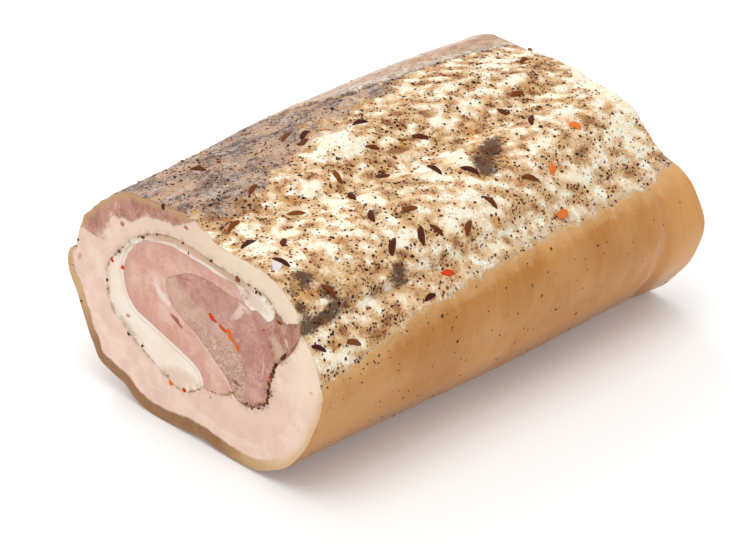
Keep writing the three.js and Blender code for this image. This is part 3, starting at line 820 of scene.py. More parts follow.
def rind_skin(f, g, bands, deep):
    """Amber, with faint bands across the roll and a few specks; brighter past the string's mark, darkened
    low down by painted shade, and dull, grey and streaked behind."""
    specked = specks(f, g.place, 3.2, 0.32 - g.rind * 0.004, 0.12).most(specks(f, g.place, 5.4, 0.34, 0.11))
    strewn_on = g.rind.fall(2, 16) * g.along.fall(-45, 25) * (1 - g.behind)
    specked = specked.most(specks(f, g.place, 1.9, strewn_on * 0.5, 0.27))
    dull = f.blend(g.streak.rise(0.38, 0.64), tone(176, 142, 118), tone(222, 192, 166))
    dull = f.blend(g.slow.rise(0.5, 0.62) * 0.5, dull, tone(206, 160, 130))
    pale = g.behind * (g.rind + g.lump * 8).fall(2.2, 4.6) * g.along.rise(-10, 12)
    return f.coated(
        f.blend(deep.rise(0.34, 0.66), tone(205, 149, 90), tone(189, 129, 68)),
        (g.along.rise(48, 72) * 0.65, tone(225, 168, 109)),
        (bands.rise(0.45, 0.75) * 0.15, tone(226, 178, 122)),
        # painted shade: the rind is darkened towards the bottom, where less light reaches it
        (g.up.fall(3, 23) * 0.6, tone(138, 92, 62)),
        ((g.rind + g.lump * 9).fall(0.5, 6) * 0.5, tone(226, 186, 136)),
        (g.behind * 0.5, f.blend(g.slow.rise(0.35, 0.65), tone(172, 126, 88), tone(192, 146, 106))),
        (g.behind * (g.rind + g.lump * 10).fall(12, 30) * 0.85, dull),
        (pale * 0.8, f.blend(g.wisps.rise(0.4, 0.6), tone(164, 146, 126), tone(236, 226, 212))),
        (specked * 0.9, tone(70, 38, 24)))


def outside(f):
    """Colour, roughness and height (mm) of the outside."""
    g = ground(f)
    into_lean = g.lean + (g.slow - 0.5) * 34 + g.lump * 20 + g.wisp * 8
    is_lean = into_lean.rise(-2.5, 3)

    # pepper and finer spice, thicker where the film is, each in its own stain
    thick = g.film * 0.14 + 0.46
    dots = specks(f, g.place, 1.7, thick + 0.1, 0.33)
    small = specks(f, g.place, 0.9, thick + 0.2, 0.34)
    stain = specks(f, g.place, 2.6, thick + 0.1, 0.42, 0.3)
    hue, _ = f.cells(g.place, 1.3)

    # the rind's edge, and the jelly that set in a strip along it in front
    deep = f.noise(f.stretched(g.place, (0.7, 0.5, 0.5)), 15, 3, 0.5)
    bands = f.noise(f.stretched(g.place, (1, 0.12, 0.12)), 1.4, 4, 0.6)
    edge = g.rind + g.dust * 2.4 + g.lump * 5
    is_rind = edge.rise(-0.4, 0.6)
    strip = (g.rind + 1.3 + g.lump * 6).near(0.3, 1.5) * g.along.rise(-38, -8) * (1 - g.behind)
    strip = strip * (g.slow.rise(0.4, 0.56) * 0.7 + 0.3)

    colour = f.coated(
        f.blend(is_lean, spiced_fat(f, g), stained_meat(f, g)),
        ((into_lean + 2).near(0.5, 5) * 0.55, tone(196, 146, 98)),
        (stain * 0.5, tone(182, 118, 58)),
        (small * 0.85, f.blend(f.part(hue, 1).rise(0.55, 0.65), tone(78, 44, 22), tone(158, 86, 32))),
        (dots * 0.95, f.blend(f.part(hue, 0).rise(0.6, 0.7), tone(46, 28, 16), tone(118, 54, 18))),
        (is_rind, rind_skin(f, g, bands, deep)),
        # the rind's edge: a pale line in front; behind it a dark line, painted shadow of the rind's raised lip
        ((edge - 0.1).near(0.15, 0.8) * 0.5, f.blend(g.behind, tone(230, 206, 172), tone(110, 86, 74))),
        (strip * 0.6, f.blend(g.wisps.rise(0.44, 0.6), tone(220, 192, 156), tone(255, 246, 230))))
    rough = f.either(is_rind, 0.4 + g.fine * 0.2 - g.grey.rise(0.3, 1) * 0.16, 0.28 + bands * 0.12)
    grainy = (g.fine * 0.14 + dots * 0.16 + small * 0.08 + g.wisps * 0.2 + g.middle * 0.16
              + g.streak * is_lean * 0.25)
    height = f.either(is_rind, grainy, bands * 0.05 + deep * 0.05) + strip * g.wisps * 0.4
    return colour, rough - strip * 0.15, height


# %% [markdown]
# ## The cut faces
#
# A knife shows what each layer is made of. Fat is smooth and nearly white, with fine lines that follow the
# layer. Lean shows its fibres in bundles, with pale membranes between them. Layers that grew together have
# a frayed border, while those that were only rolled together have a dark line of spice. All of it is drawn
# in the section's own coordinates, so that both cuts have it.


# %% Colours of fat and lean
def fray(f, place, size, reach):
    """A wobble of a border: up to about `reach` mm either way, in lumps of `size` mm."""
    return (f.noise(place, size, 4, 0.62) - 0.5) * 2 * reach


def flattened(f):
    """The section's place, with little change along the roll, so that a pattern runs through the food."""
    return f.stretched(f.carried("place", True), (0.05, 1, 1))


def into(f, key, size, reach):
    """The distance that the points carry under that name, frayed."""
    return f.carried(key) + fray(f, flattened(f), size, reach)


def fat(f, pale, warm):
    """Cut fat: pale with warmer clouds, and fine lighter lines that follow the layer."""
    lines = f.noise(f.stretched(f.carried("grain", True), (0.13, 1.6, 0.02)), 1.3, 4, 0.6)
    colour = f.blend(f.noise(flattened(f), 8, 4, 0.6).rise(0.36, 0.64), pale, warm)
    return f.blend(lines.rise(0.48, 0.74) * 0.3, colour, tone(254, 238, 226))


def lean(f, light, dark, pull=(1, 1), grain=0.9):
    """Cut lean: clouds of light and dark, fibres stretched by `pull`, and thin pale threads between
    bundles."""
    flat = flattened(f)
    pulled = f.stretched(flat, (1, *pull))
    fibres = f.noise(pulled, grain, 5, 0.72, 0.6)
    clouds = f.noise(flat, 6, 4, 0.6, 0.5) * 0.7 + fibres * 0.3
    return f.coated(
        f.blend(clouds.rise(0.36, 0.62), light, dark),
        ((f.noise(pulled, 4.5, 3, 0.6, 0.8) - 0.5).near(0.004, 0.024) * 0.3, tone(240, 210, 196)),
        (fibres.rise(0.62, 0.74) * 0.4, tone(244, 216, 204)))


def coarse_lean(f):
    """The coarse muscle: short pale grains on a darker ground, coarser towards its lower end."""
    flat, low = flattened(f), f.place(UP).fall(30, 46)
    worms = f.noise(f.stretched(flat, (1, 0.7, 1.1)), 1.5, 3, 0.6, 2.2)
    colour = f.coated(
        f.blend(f.noise(flat, 6, 3).rise(0.35, 0.65), tone(221, 180, 161), tone(206, 160, 143)),
        (worms.rise(0.52, 0.6) * (low * 0.6 + 0.15), tone(246, 218, 198)),
        (worms.fall(0.38, 0.46) * (low * 0.5 + 0.1), tone(176, 116, 100)),
        (f.noise(flat, 0.5, 3, 0.7).rise(0.56, 0.7) * 0.3, tone(242, 214, 198)))
    return colour, worms * (low * 0.6 + 0.1)


def blob(f, across, up, long, wide, turn=0):
    """1 in a ragged ellipse at (across, up), with its half sizes in mm and its long axis turned from
    +across."""
    y, z = f.place(ACROSS) - across, f.place(UP) - up
    c, s = np.cos(np.radians(turn)).item(), np.sin(np.radians(turn)).item()
    u, v = (y * c + z * s) * (1 / long), (z * c - y * s) * (1 / wide)
    return (u * u + v * v + fray(f, f.carried("place", True), 1.6, 0.9)).fall(0.1, 1.3)


def marked(f, colour, *marks):
    """The colour under blobs, each given by its place, its tint and its strength."""
    return f.coated(colour, *((blob(f, *at) * strength, tint) for at, tint, strength in marks))


def rim(f, key, width):
    """1 in a patchy line of that width along a seam."""
    patchy = f.noise(flattened(f), 3.4, 4, 0.66).rise(0.44, 0.6) * 0.9 + 0.1
    return into(f, key, 0.9, 0.3).fall(width * 0.2, width) * patchy


def across_border(f, key, size, reach, soft, sign):
    """How much of the neighbour's colour shows near a border that frays: `sign` is 1 for the layer on the
    border's one side and -1 on its other, so that both draw the same line."""
    return (fray(f, flattened(f), size, reach) * sign - f.carried(key)).rise(-soft, soft)


# %% [markdown]
# ## What each cut shows
#
# Every layer now gets its own few colours, and the marks that make this roast: vessels, a streak of fat in
# the fold and one of blood beside the core. A mark is an ellipse with a ragged edge, placed in the
# section's millimetres.

# %% The seven cuts
PALE, RED = tone(244, 216, 204), tone(178, 84, 76)
SPICE, SMEAR, DARK = tone(150, 104, 66), tone(206, 184, 156), tone(96, 58, 40)


def belly_fat(f):
    """Pinkish fat, more yellow over the top and towards the front, with a few vessels."""
    across, up = f.place(ACROSS), f.place(UP)
    inner = into(f, "depth", 6, 2).rise(8, 8.8) * across.fall(-8, 4) * up.fall(26, 36)
    colour = f.coated(
        fat(f, tone(252, 220, 202), tone(240, 204, 186)),
        (up.rise(55, 64) * 0.8, tone(238, 212, 190)),
        (up.rise(54, 60) * across.fall(-24, 6) * 0.85, tone(246, 226, 200)),
        (inner * 0.5, tone(236, 196, 180)),
        (across.fall(-46, -36) * up.rise(20, 40) * 0.7, tone(253, 233, 208)))
    return marked(f, colour, ((28, 58.7, 1.1, 0.9), RED, 0.85), ((1.3, 68.1, 1.0, 0.7), RED, 0.85),
                  ((47.8, 40.3, 1.6, 0.8, -60), tone(222, 150, 128), 0.8),
                  ((-49.2, 37, 0.7, 0.7), tone(226, 168, 138), 0.7), ((45, 24.3, 0.9, 0.7), PALE, 0.6),
                  ((-33, 14.5, 9, 3.2, 30), tone(243, 205, 189), 0.5))


def cap_meat(f):
    """The lean band's dull pink, its fibres drawn out sideways."""
    return lean(f, tone(204, 152, 134), tone(180, 120, 104), (1, 0.5))


def ring_fat(f):
    """White fat, browned over the fold and grey where juice ran in, with a red line just outside the
    lean."""
    across, up = f.place(ACROSS), f.place(UP)
    top = up.rise(57, 59.5) * across.fall(12, 24) * across.rise(-27, -22)
    line = (into(f, "to_lean", 3, 0.35) - 1.25).near(0.12, 0.42)
    colour = f.coated(
        fat(f, tone(255, 243, 229), tone(252, 231, 214)),
        (top * f.carried("to_spice").fall(1.4, 2.6) * 0.85, tone(214, 168, 138)),
        (line * 0.4, tone(214, 172, 156)))
    return marked(f, colour, ((7, 17.6, 10, 3.4, -14), tone(234, 204, 184), 0.8),
                  ((-27, 56.5, 6, 2.6, 15), tone(232, 208, 192), 0.8),
                  ((27.5, 25.4, 5, 1.8, 30), SMEAR, 0.55), ((36, 38, 1.2, 5, 10), SMEAR, 0.4),
                  ((28, 52, 1.3, 5, -35), tone(222, 210, 196), 0.5),
                  ((27.4, 29, 1.1, 0.7, -10), RED, 0.7), ((-29.5, 57, 4, 0.5, -20), PALE, 0.7))


def fold_meat(f):
    """The folded piece: pink, darker towards its outside, with a streak of fat and one of blood by the
    core."""
    skin = f.carried("to_core").fall(0.35, 0.95) * f.place(UP).fall(34, 37)
    colour = f.coated(
        lean(f, tone(238, 195, 178), tone(222, 164, 144), (0.7, 1)),
        (into(f, "to_lean", 4, 1.6).fall(0.5, 5) * 0.55, tone(210, 156, 142)),
        (skin * 0.75, tone(243, 216, 202)))
    return marked(f, colour, ((11.6, 42.3, 4.8, 1.5, 39), tone(246, 226, 214), 0.9),
                  ((14.8, 45, 2.6, 1.6, -40), tone(244, 220, 207), 0.7),
                  ((6.2, 36.4, 3.4, 0.9, 23), tone(158, 74, 70), 0.9),
                  ((5, 56, 5, 1.2, 8), tone(226, 176, 158), 0.4))


def fine_meat(f):
    """The fine muscle: purple-pink, fibres along it, a streak of white fat and a thin pale line."""
    colour = f.coated(
        lean(f, tone(209, 158, 144), tone(190, 133, 121), (0.55, 1.15), 0.7),
        (specks(f, flattened(f), 0.7, 0.16, 0.3) * 0.5, tone(248, 226, 216)))
    return marked(f, colour, ((-20.2, 50.3, 4.4, 1.5, -51), tone(238, 208, 196), 0.9),
                  ((-22.6, 52.6, 3, 1.6, 10), tone(236, 204, 192), 0.8),
                  ((-29.6, 36.5, 4.6, 0.35, 96), tone(232, 190, 180), 0.8),
                  ((4, 51.2, 5, 0.7, -12), tone(176, 112, 106), 0.6),
                  ((-22, 51.8, 0.5, 0.4), RED, 0.8), ((-26, 26, 3.4, 2.6), tone(222, 178, 154), 0.6))


def flap_meat(f):
    """The flap's end: ragged pink fibres that run out to the skin, under a tan film."""
    film = f.noise(f.stretched(flattened(f), (1, 1, 0.5)), 2, 5, 0.7)
    colour = f.coated(
        lean(f, tone(208, 160, 140), tone(172, 112, 94), (1, 0.4), 1),
        (film.rise(0.5, 0.62) * 0.7, tone(190, 150, 116)), (film.rise(0.66, 0.72) * 0.7, tone(112, 76, 56)))
    return marked(f, colour, ((-36, 44.5, 2.6, 5, -20), tone(222, 192, 168), 0.7),
                  ((-39.6, 48.6, 1.6, 0.7, 50), tone(236, 206, 188), 0.7))


def crust(f, colour, height):
    """The cut with the rind's band over its outermost millimetres; in front it is nearly as pale as the
    fat, and towards the bottom it is darker, partly as painted shade."""
    around, inside = f.carried("around"), into(f, "crust", 1.1, 0.4)
    # `below` darkens the band towards the bottom: partly painted shade
    below, front = (around + 112).near(36, 64), (around + 10).near(16, 44)

    def shade(upper_tone, low_shaded_tone):
        return f.blend(below, upper_tone, low_shaded_tone)

    rind = f.coated(
        shade(tone(212, 174, 128), tone(158, 116, 80)),
        (front * 0.85, tone(242, 208, 172)),
        (f.carried("depth").fall(0.4, 2.2) * 0.35, shade(tone(204, 164, 116), tone(172, 132, 94))),
        (f.noise(flattened(f), 2.5, 4).rise(0.45, 0.7) * 0.25, shade(tone(226, 190, 148), tone(180, 142, 106))))
    band = f.either(front, inside.rise(-0.4, 0.6), inside.rise(-0.8, 2.4))
    return f.blend(band, colour, rind), f.either(band, height, 0.02)


# %% [markdown]
# ## Finishes for the layers
#
# Two layers that grew into each other take each other's colour across the frayed border, so each cut is
# written as its own colour, its neighbour's, and the share between them. The last function adds the lines
# along the seams, the rind's band and, for the layers that show there, the outside.


# %% Putting the finishes together
def faint(f):
    """Relief of a smooth cut, in mm."""
    return f.noise(flattened(f), 1.3, 4, 0.6) * 0.1


def slab_cut(f):
    return f.blend(across_border(f, "to_cap", 4, 2.4, 0.9, 1), belly_fat(f), cap_meat(f)), faint(f)


def cap_cut(f):
    colour = f.blend(across_border(f, "to_cap", 4, 2.4, 0.9, -1), cap_meat(f), belly_fat(f))
    return f.blend(into(f, "depth", 3, 1.6).fall(0.6, 3) * 0.8, colour, tone(204, 162, 116)), faint(f) * 2


def flap_cut(f):
    return flap_meat(f), faint(f)


def ring_cut(f):
    return f.blend(across_border(f, "to_lean", 3, 0.4, 0.35, 1), ring_fat(f), fold_meat(f)), faint(f)


def fold_cut(f):
    return f.blend(across_border(f, "to_lean", 3, 0.4, 0.35, -1), fold_meat(f), ring_fat(f)), faint(f)


def coarse_cut(f):
    colour, height = coarse_lean(f)
    colour = f.blend(across_border(f, "to_fold", 3, 1.6, 0.8, 1), colour, fine_meat(f))
    return marked(f, colour, ((-18.4, 26.6, 2.6, 0.5, 8), tone(146, 66, 60), 0.9)), height


def fine_cut(f):
    other, height = coarse_lean(f)
    share = across_border(f, "to_fold", 3, 1.6, 0.8, -1)
    return f.blend(share, fine_meat(f), other), f.either(share, faint(f), height)


def dressed(name, cut, shows, *lines):
    """A layer's material: its cut's colour and relief, lines along its seams, each given by the seam, a
    colour, its width and its share, and the common outside where it shows."""
    f = Finish(name)
    colour, height = cut(f)
    colour = f.coated(colour, *((rim(f, key, width) * share, shade) for key, shade, width, share in lines))
    colour, height = crust(f, colour, height)
    rough = f.noise(flattened(f), 2.2, 3) * 0.2 + 0.3
    wet = 0.15
    if shows:
        there = f.carried("cut").fall(0.12, 0.34)
        wet = there * 0.12 + f.carried("rind").rise(0, 1) * (1 - there) * 0.15 + 0.03
        skin_colour, skin_rough, skin_height = outside(f)
        colour = f.blend(there, skin_colour, colour)
        rough, height = f.either(there, skin_rough, rough), f.either(there, skin_height, height)
    return f.done(Base_Color=colour, Roughness=rough, Normal=f.bump(height), Coat_Weight=wet, **MEAT)


finishes = {
    "rolled_belly": dressed("skin_and_fat", slab_cut, True, ("to_spice", SMEAR, 2.2, 0.6),
                            ("to_spice", SPICE, 0.7, 0.4)),
    "top_lean": dressed("stained_lean", cap_cut, True),
    "front_flap": dressed("pale_lean", flap_cut, True, ("to_spice", SPICE, 1.3, 0.8)),
    "fat_ring": dressed("white_fat", ring_cut, False, ("to_spice", SMEAR, 2.6, 0.8),
                        ("to_spice", SPICE, 0.9, 0.45)),
    "lean_fold": dressed("pink_lean", fold_cut, False, ("to_spice", SPICE, 0.9, 0.7),
                         ("to_core", tone(176, 112, 102), 0.35, 0.5)),
    "coarse_core": dressed("coarse_lean", coarse_cut, False, ("to_core", tone(166, 100, 92), 0.5, 0.6),
                           ("to_spice", SPICE, 0.9, 0.9)),
    "fine_core": dressed("fine_lean", fine_cut, False, ("to_spice", SPICE, 1.6, 0.7),
                         ("to_spice", DARK, 0.8, 0.9), ("to_core", tone(176, 116, 108), 0.4, 0.4)),
}
for name, finish in finishes.items():
    pieces[name].data.materials.append(finish)
print("finishes:", [finish.name for finish in finishes.values()])

# %% [markdown]
# ## Seeds, flakes and pepper
#
# What lies on the roast decides how it looks from close by. Caraway seeds are ridged crescents, some 6 mm
# long, and chilli comes as thin curled chips. Each shape is made once as a small grid, and every copy is
# the same grid turned and scaled into its place, all in one array. The largest ones lie where the photo has
# them, and the rest are spread by a rule.


# %% Shapes for toppings
SEED_LENGTH, SEED_THICK, SEED_BOW, SEED_DROOP = 6.4, 1.65, 0.55, 0.35
CHIP_LENGTH, CHIP_WIDTH, CHIP_THICK = 4.2, 2.7, 0.7


def closed_shape(share, length, y, z):
    """A shape along x: one point at each end, and a ring of (y, z) at each share of its half length. Its
    faces are a tube, and a fan at each end."""
    rows, turns = y.shape
    rings = np.stack([np.repeat(share, turns, 1) * length / 2, y, z], -1)
    points = np.vstack([[[-length / 2, 0, 0], [length / 2, 0, 0]], rings.reshape(-1, 3)])
    j = np.arange(turns)
    after, last = (j + 1) % turns, 2 + (rows - 1) * turns
    start = np.stack([np.zeros(turns, int), 2 + after, 2 + j], -1)
    end = np.stack([np.ones(turns, int), last + j, last + after], -1)
    return points, [2 + tube(rows, turns), start, end]


def seed_shape(rows=9, turns=10):
    """A crescent: rings round a bowed line, thickest in the middle and pointed at both ends, with five
    ribs."""
    share = np.linspace(-1, 1, rows + 2)[1:-1, None]
    angle = np.linspace(0, 2 * np.pi, turns, endpoint=False)
    radius = SEED_THICK / 2 * (1 - share**2) ** 0.8 * (1 + 0.14 * np.cos(5 * angle))
    points, faces = closed_shape(share, SEED_LENGTH, radius * np.cos(angle), radius * np.sin(angle))
    off = (points[:, 0] / (SEED_LENGTH / 2)) ** 2
    return points - off[:, None] * (0, SEED_BOW, SEED_DROOP), faces


def chip_shape(rows=7, turns=12):
    """A thin chip: a squared-off ring flattened to its thickness and curled along its length."""
    share = np.linspace(-1, 1, rows + 2)[1:-1, None]
    angle = np.linspace(0, 2 * np.pi, turns, endpoint=False)
    reach = (1 - share**6) ** 0.3
    y = CHIP_WIDTH / 2 * reach * np.sign(np.cos(angle)) * abs(np.cos(angle)) ** 0.5
    z = CHIP_THICK / 2 * reach * np.sign(np.sin(angle)) * abs(np.sin(angle)) ** 0.6
    points, faces = closed_shape(share, CHIP_LENGTH, y, z)
    points[:, 1] *= 0.8 + 0.24 * np.sin(points[:, 0] * 1.3 + 0.6)
    points[:, 2] += 0.35 * np.cos(points[:, 0] * 1.1) + 0.16 * np.sin(points[:, 1] * 2 + points[:, 0])
    return points, faces


def grain_shape():
    """A crumb: twelve points of an icosahedron, twenty faces."""
    g = (1 + 5**0.5) / 2
    p = [(-1, g, 0), (1, g, 0), (-1, -g, 0), (1, -g, 0), (0, -1, g), (0, 1, g), (0, -1, -g), (0, 1, -g),
         (g, 0, -1), (g, 0, 1), (-g, 0, -1), (-g, 0, 1)]
    t = [(0, 11, 5), (0, 5, 1), (0, 1, 7), (0, 7, 10), (0, 10, 11), (1, 5, 9), (5, 11, 4), (11, 10, 2),
         (10, 7, 6), (7, 1, 8), (3, 9, 4), (3, 4, 2), (3, 2, 6), (3, 6, 8), (3, 8, 9), (4, 9, 5), (2, 4, 11), (6, 2, 10),
         (8, 6, 7), (9, 8, 1)]
    return np.array(p, float) / np.hypot(1, g), [np.array(t)]


SEED, CHIP, GRAIN = seed_shape(), chip_shape(), grain_shape()
print("points of a seed, a chip and a grain:", [len(points) for points, _ in (SEED, CHIP, GRAIN)])

# %% [markdown]
# ## Laying them on the outside
#
# A seed lies flat on the fat, so each place needs three axes: along the seed, across it, and straight out
# of the skin. They come from the bent roll itself, as the steps to a point just ahead and one just beside.


# %% Copies on the outside
def unit(vectors):
    """The same directions, each of length 1."""
    return vectors / np.linalg.norm(vectors, axis=-1, keepdims=True)


def turned(first, second, turn):
    """The first direction turned towards the second by so many degrees."""
    angle = np.radians(turn)[:, None]
    return first * np.cos(angle) + second * np.sin(angle)


def frames(along, around, turn):
    """For each place on the outside: its point, and the axes long, wide and out, turned by `turn`
    degrees."""
    ahead = on_outside(along + 1.5, around) - on_outside(along - 1.5, around)
    beside = on_outside(along, around + 2) - on_outside(along, around - 2)
    out, ahead = unit(np.cross(ahead, beside)), unit(ahead)
    long = turned(ahead, np.cross(out, ahead), turn)
    return on_outside(along, around), long, np.cross(out, long), out


def strewn(name, shape, at, scale, sunk, jitter=0.0):
    """Copies of one shape, one for each frame: shape point (x, y, z) goes to point + x long + y wide + z
    out, each axis scaled, and every point shaken by a little of the shape's size."""
    template, faces = shape
    point, long, wide, out = at
    local = template[None] * scale[:, None]
    local = local * (1 + draw.normal(0, jitter, local.shape)) if jitter else local
    placed = (point[:, None] + local[..., :1] * long[:, None] + local[..., 1:2] * wide[:, None]
              + (local[..., 2:] - sunk) * out[:, None])
    start = (np.arange(len(point)) * len(template))[:, None, None]
    every = [(face[None] + start).reshape(-1, face.shape[1]) for face in faces]
    tint = np.repeat(draw.uniform(0, 1, len(point)), len(template))
    inner = np.tile(template, (len(point), 1))
    pieces[name] = make_piece(name, placed.reshape(-1, 3), every, {"tint": tint, "own": inner})


# along, around, turn in degrees
SLAB_SEEDS = [(7, 77, -38), (38, 70.5, -60), (48, 76.5, -12), (41.5, 58.3, 43), (-9, 82, -35),
              (22.5, 35.5, -33), (-24, 34, 60), (-18, 33.3, -68), (-8, 29.6, 40), (-47, 67, -33),
              (-29.7, 15, 3), (-60, 12.9, -28), (-71.8, 16, -38), (-61.5, 31, -65), (-20.8, 44, -15),
              (-67.8, 46.3, -78), (-14.2, 65.3, -45)]
CAP_SEEDS = [(65.5, 97.5, 24), (-4.5, 97.5, -12), (-24, 102.5, 20), (-24.5, 112, 20), (-53, 119.5, -70),
             (-51, 90, 22), (-20.5, 107, 27)]
FLAKES = [(32, 34.5, 35), (28, 18.7, 8), (51, 46.2, -45), (-20, 18.6, -20)]
PALE_CHIPS = [(-70.5, 45.5, 40), (-41, 22.5, 10)]
SCATTERED_SEEDS = 10
SPREAD = (0.7548776662, 0.5698402910)  # steps of the plane's golden ratio
GOLDEN_ANGLE = 137.5
TOP = (-70, 138, 31, 49)  # the spiced top: along from, over how much; around from, over how much
APART = 9  # mm


def scattered():
    """Places by the golden ratio over the spiced top, those too near a named one left out."""
    count = np.arange(3 * SCATTERED_SEEDS)
    tried = np.stack([TOP[0] + TOP[1] * ((0.5 + SPREAD[0] * count) % 1),
                      TOP[2] + TOP[3] * ((0.5 + SPREAD[1] * count) % 1), (GOLDEN_ANGLE * count) % 180 - 90], -1)
    named = np.array(SLAB_SEEDS + FLAKES, float)[None, :, :2]
    gap = np.hypot(tried[:, None, 0] - named[..., 0], (tried[:, None, 1] - named[..., 1]) * 0.8)
    return tried[gap.min(1) > APART][:SCATTERED_SEEDS]


draw = np.random.default_rng(7)
seed_at = np.vstack([np.array(SLAB_SEEDS + CAP_SEEDS, float), scattered()])
flake_at, pale_at = np.array(FLAKES, float), np.array(PALE_CHIPS, float)
seed_scale = draw.uniform((0.94, 0.98, 0.95), (1.16, 1.22, 1.15), (len(seed_at), 3))
strewn("caraway_seeds", SEED, frames(*seed_at.T), seed_scale, 0.12)
flake_scale = draw.uniform((0.9, 0.75, 0.9), (1.2, 1.05, 1.1), (len(flake_at), 3))
strewn("chilli_flakes", CHIP, frames(*flake_at.T), flake_scale, 0.05, 0.1)
pale_scale = np.array([(1.15, 1.1, 0.7), (0.7, 0.5, 0.5)])
strewn("pale_chips", CHIP, frames(*pale_at.T), pale_scale, 0.05, 0.05)

# %% [markdown]
# ## Pepper
#
# Ground pepper sticks where the film of spice is thick, and hardly at all on the rind. So places are drawn
# at random over the outside, and each is kept with a chance that follows the film.

# %% Pepper on the outside
PEPPER = 3600


def pepper_places(count):
    """Random places on the outside, kept more often where the film of spice is thick, seldom on the rind."""
    along = draw.uniform(-74.3, 74.3, 4 * count)
    around = draw.uniform(-38, 172, 4 * count)
    rind, lean, film, _ = borders(along, around)
    chance = np.clip(0.28 + 0.3 * film, 0.02, 1) * np.where(lean > 0, 0.55, 1)
    chance = np.where(rind > 0.3, 0.022, chance)
    kept = draw.uniform(0, 1, len(along)) < chance
    return along[kept][:count], around[kept][:count]


pepper_at = pepper_places(PEPPER)
grains = len(pepper_at[0])
grain_size = 0.2 + 0.42 * draw.beta(1.2, 3.6, grains)
grain_scale = grain_size[:, None] * draw.uniform(0.7, 1.35, (grains, 3)) * (1.15, 0.9, 0.7)
pepper_frames = frames(*pepper_at, draw.uniform(0, 360, grains))
strewn("pepper_grains", GRAIN, pepper_frames, grain_scale, 0.05, 0.12)

# %% [markdown]
# ## Spice caught in the seams
#
# Where the slab was only laid round the meat, the rub that was spread on it shows at the cut: whole seeds
# and chips in a crumbly line. The large ones have their own places in the section, and crumbs are strewn
# along the seams, more of them at the flap's foot. Both cuts get the same.


# %% Seeds, chips and crumbs at the two cuts
def cut_frames(across, up, turn):
    """Frames as on the outside, first on the near cut and then on the far one; 0 degrees lies along
    across."""
    parts = []
    for end in (-1, 1):
        along = np.full(len(across), end * LENGTH / 2)
        sideways = bent(along, across + 0.5, up) - bent(along, across - 0.5, up)
        upward = bent(along, across, up + 0.5) - bent(along, across, up - 0.5)
        out, long = unit(np.cross(sideways, upward) * end), unit(turned(sideways, upward, turn))
        parts.append((bent(along, across, up), long, np.cross(out, long), out))
    return [np.vstack(pair) for pair in zip(*parts)]


# across, up, turn, length in mm
SEAM_SEEDS = [(-38, 43.5, -50, 4.6), (-35, 39.5, -62, 4), (-31.9, 32.6, 80, 3.4), (-31.2, 26.4, 62, 3.2),
              (-22.8, 22, 0, 2), (-36.5, 54, 20, 2.8), (-31.7, 58.5, 12, 2.3), (0, 60.8, 90, 2.8),
              (27.3, 23, 40, 2.2), (30.2, 49, 50, 1.8)]
# across, up, turn, length, width
SEAM_CHIPS = [(33, 45.2, 0, 2.2, 1.6), (28.7, 44.3, 90, 1.8, 1.2), (9.2, 14.6, 15, 2.4, 1.2),
              (3.5, 14.8, -25, 2.2, 1.3), (-9.4, 43.8, 28, 4.6, 1.2), (-13.6, 42.2, 20, 4.6, 0.9),
              (-17, 41.2, 42, 6, 2.2), (-19.4, 38.6, 58, 3.4, 1.1), (-30.2, 49, 0, 0.9, 0.8),
              (-32.5, 34.8, 0, 0.9, 0.8)]
# across, up, size
SEAM_GRAINS = [(-31.6, 29.5, 1.9), (-33.2, 35.6, 1.7), (-34, 37.4, 1.4), (-29.6, 24.4, 1.5),
               (-24.8, 21.5, 1.4), (-33.8, 57, 0.9), (-29, 60, 1.5), (-27.5, 59.8, 1.4), (-24.3, 60.7, 0.9),
               (-20, 60.8, 1.9), (-9, 62, 1.3), (2.5, 62.8, 1.2), (13.3, 61, 1.1), (19.6, 57.7, 1.2),
               (17.5, 59.3, 0.8), (28.5, 51, 0.9), (36, 37.3, 1.3), (35.8, 34.5, 0.9), (21.5, 21.5, 1),
               (10.5, 16.3, 0.9), (-7.5, 17.2, 0.9), (48.2, 45.5, 1.1), (49.2, 43, 0.8), (48, 25.2, 0.9),
               (10.4, 71, 2)]
CRUMBS = 190

seeds = np.array(SEAM_SEEDS).T
seed_share = np.tile(seeds[3] / SEED_LENGTH, 2)[:, None]
seam_seed_scale = np.hstack([seed_share, seed_share**0.5 * (0.85, 0.85)])
strewn("seam_seeds", SEED, cut_frames(*seeds[:3]), seam_seed_scale, 0.15)
chips = np.array(SEAM_CHIPS).T
chip_scale = np.stack([chips[3] / CHIP_LENGTH, chips[4] / CHIP_WIDTH, np.full(len(SEAM_CHIPS), 0.8)], -1)
strewn("seam_chilli", CHIP, cut_frames(*chips[:3]), np.tile(chip_scale, (2, 1)), 0.12, 0.05)

seam_line = np.vstack([smooth(CURVES[name], 12) for name in SEAMS["to_spice"]])
at_foot = bump(seam_line[:, 0] + 31, 7) * bump(seam_line[:, 1] - 33, 18)
chance = 0.4 * np.clip(waves(seam_line, 9, 61), 0, 3) + 4.5 * at_foot
crumb_at = seam_line[draw.choice(len(seam_line), CRUMBS, p=chance / chance.sum())]
crumb_at = crumb_at + draw.normal(0, 0.55, (CRUMBS, 2))
grain_at = np.vstack([np.array(SEAM_GRAINS)[:, :2], crumb_at])
grain_radius = np.concatenate([np.array(SEAM_GRAINS)[:, 2] / 2, 0.12 + 0.34 * draw.beta(1.2, 3, CRUMBS)])
seam_scale = draw.uniform(0.75, 1.25, (2 * len(grain_at), 3)) * (1.1, 0.9, 0.7)
seam_scale = seam_scale * np.tile(grain_radius, 2)[:, None]
seam_frames = cut_frames(*grain_at.T, draw.uniform(0, 360, len(grain_at)))
strewn("seam_crumbs", GRAIN, seam_frames, seam_scale, 0.06, 0.1)

# %% [markdown]
# ## Dried spice
#
# A seed is never one brown. Each copy carries a tint of its own, drawn at random, and its place within the
# shape, along which fine ribs of noise run. One function makes every spice from its darkest and its
# lightest tone.


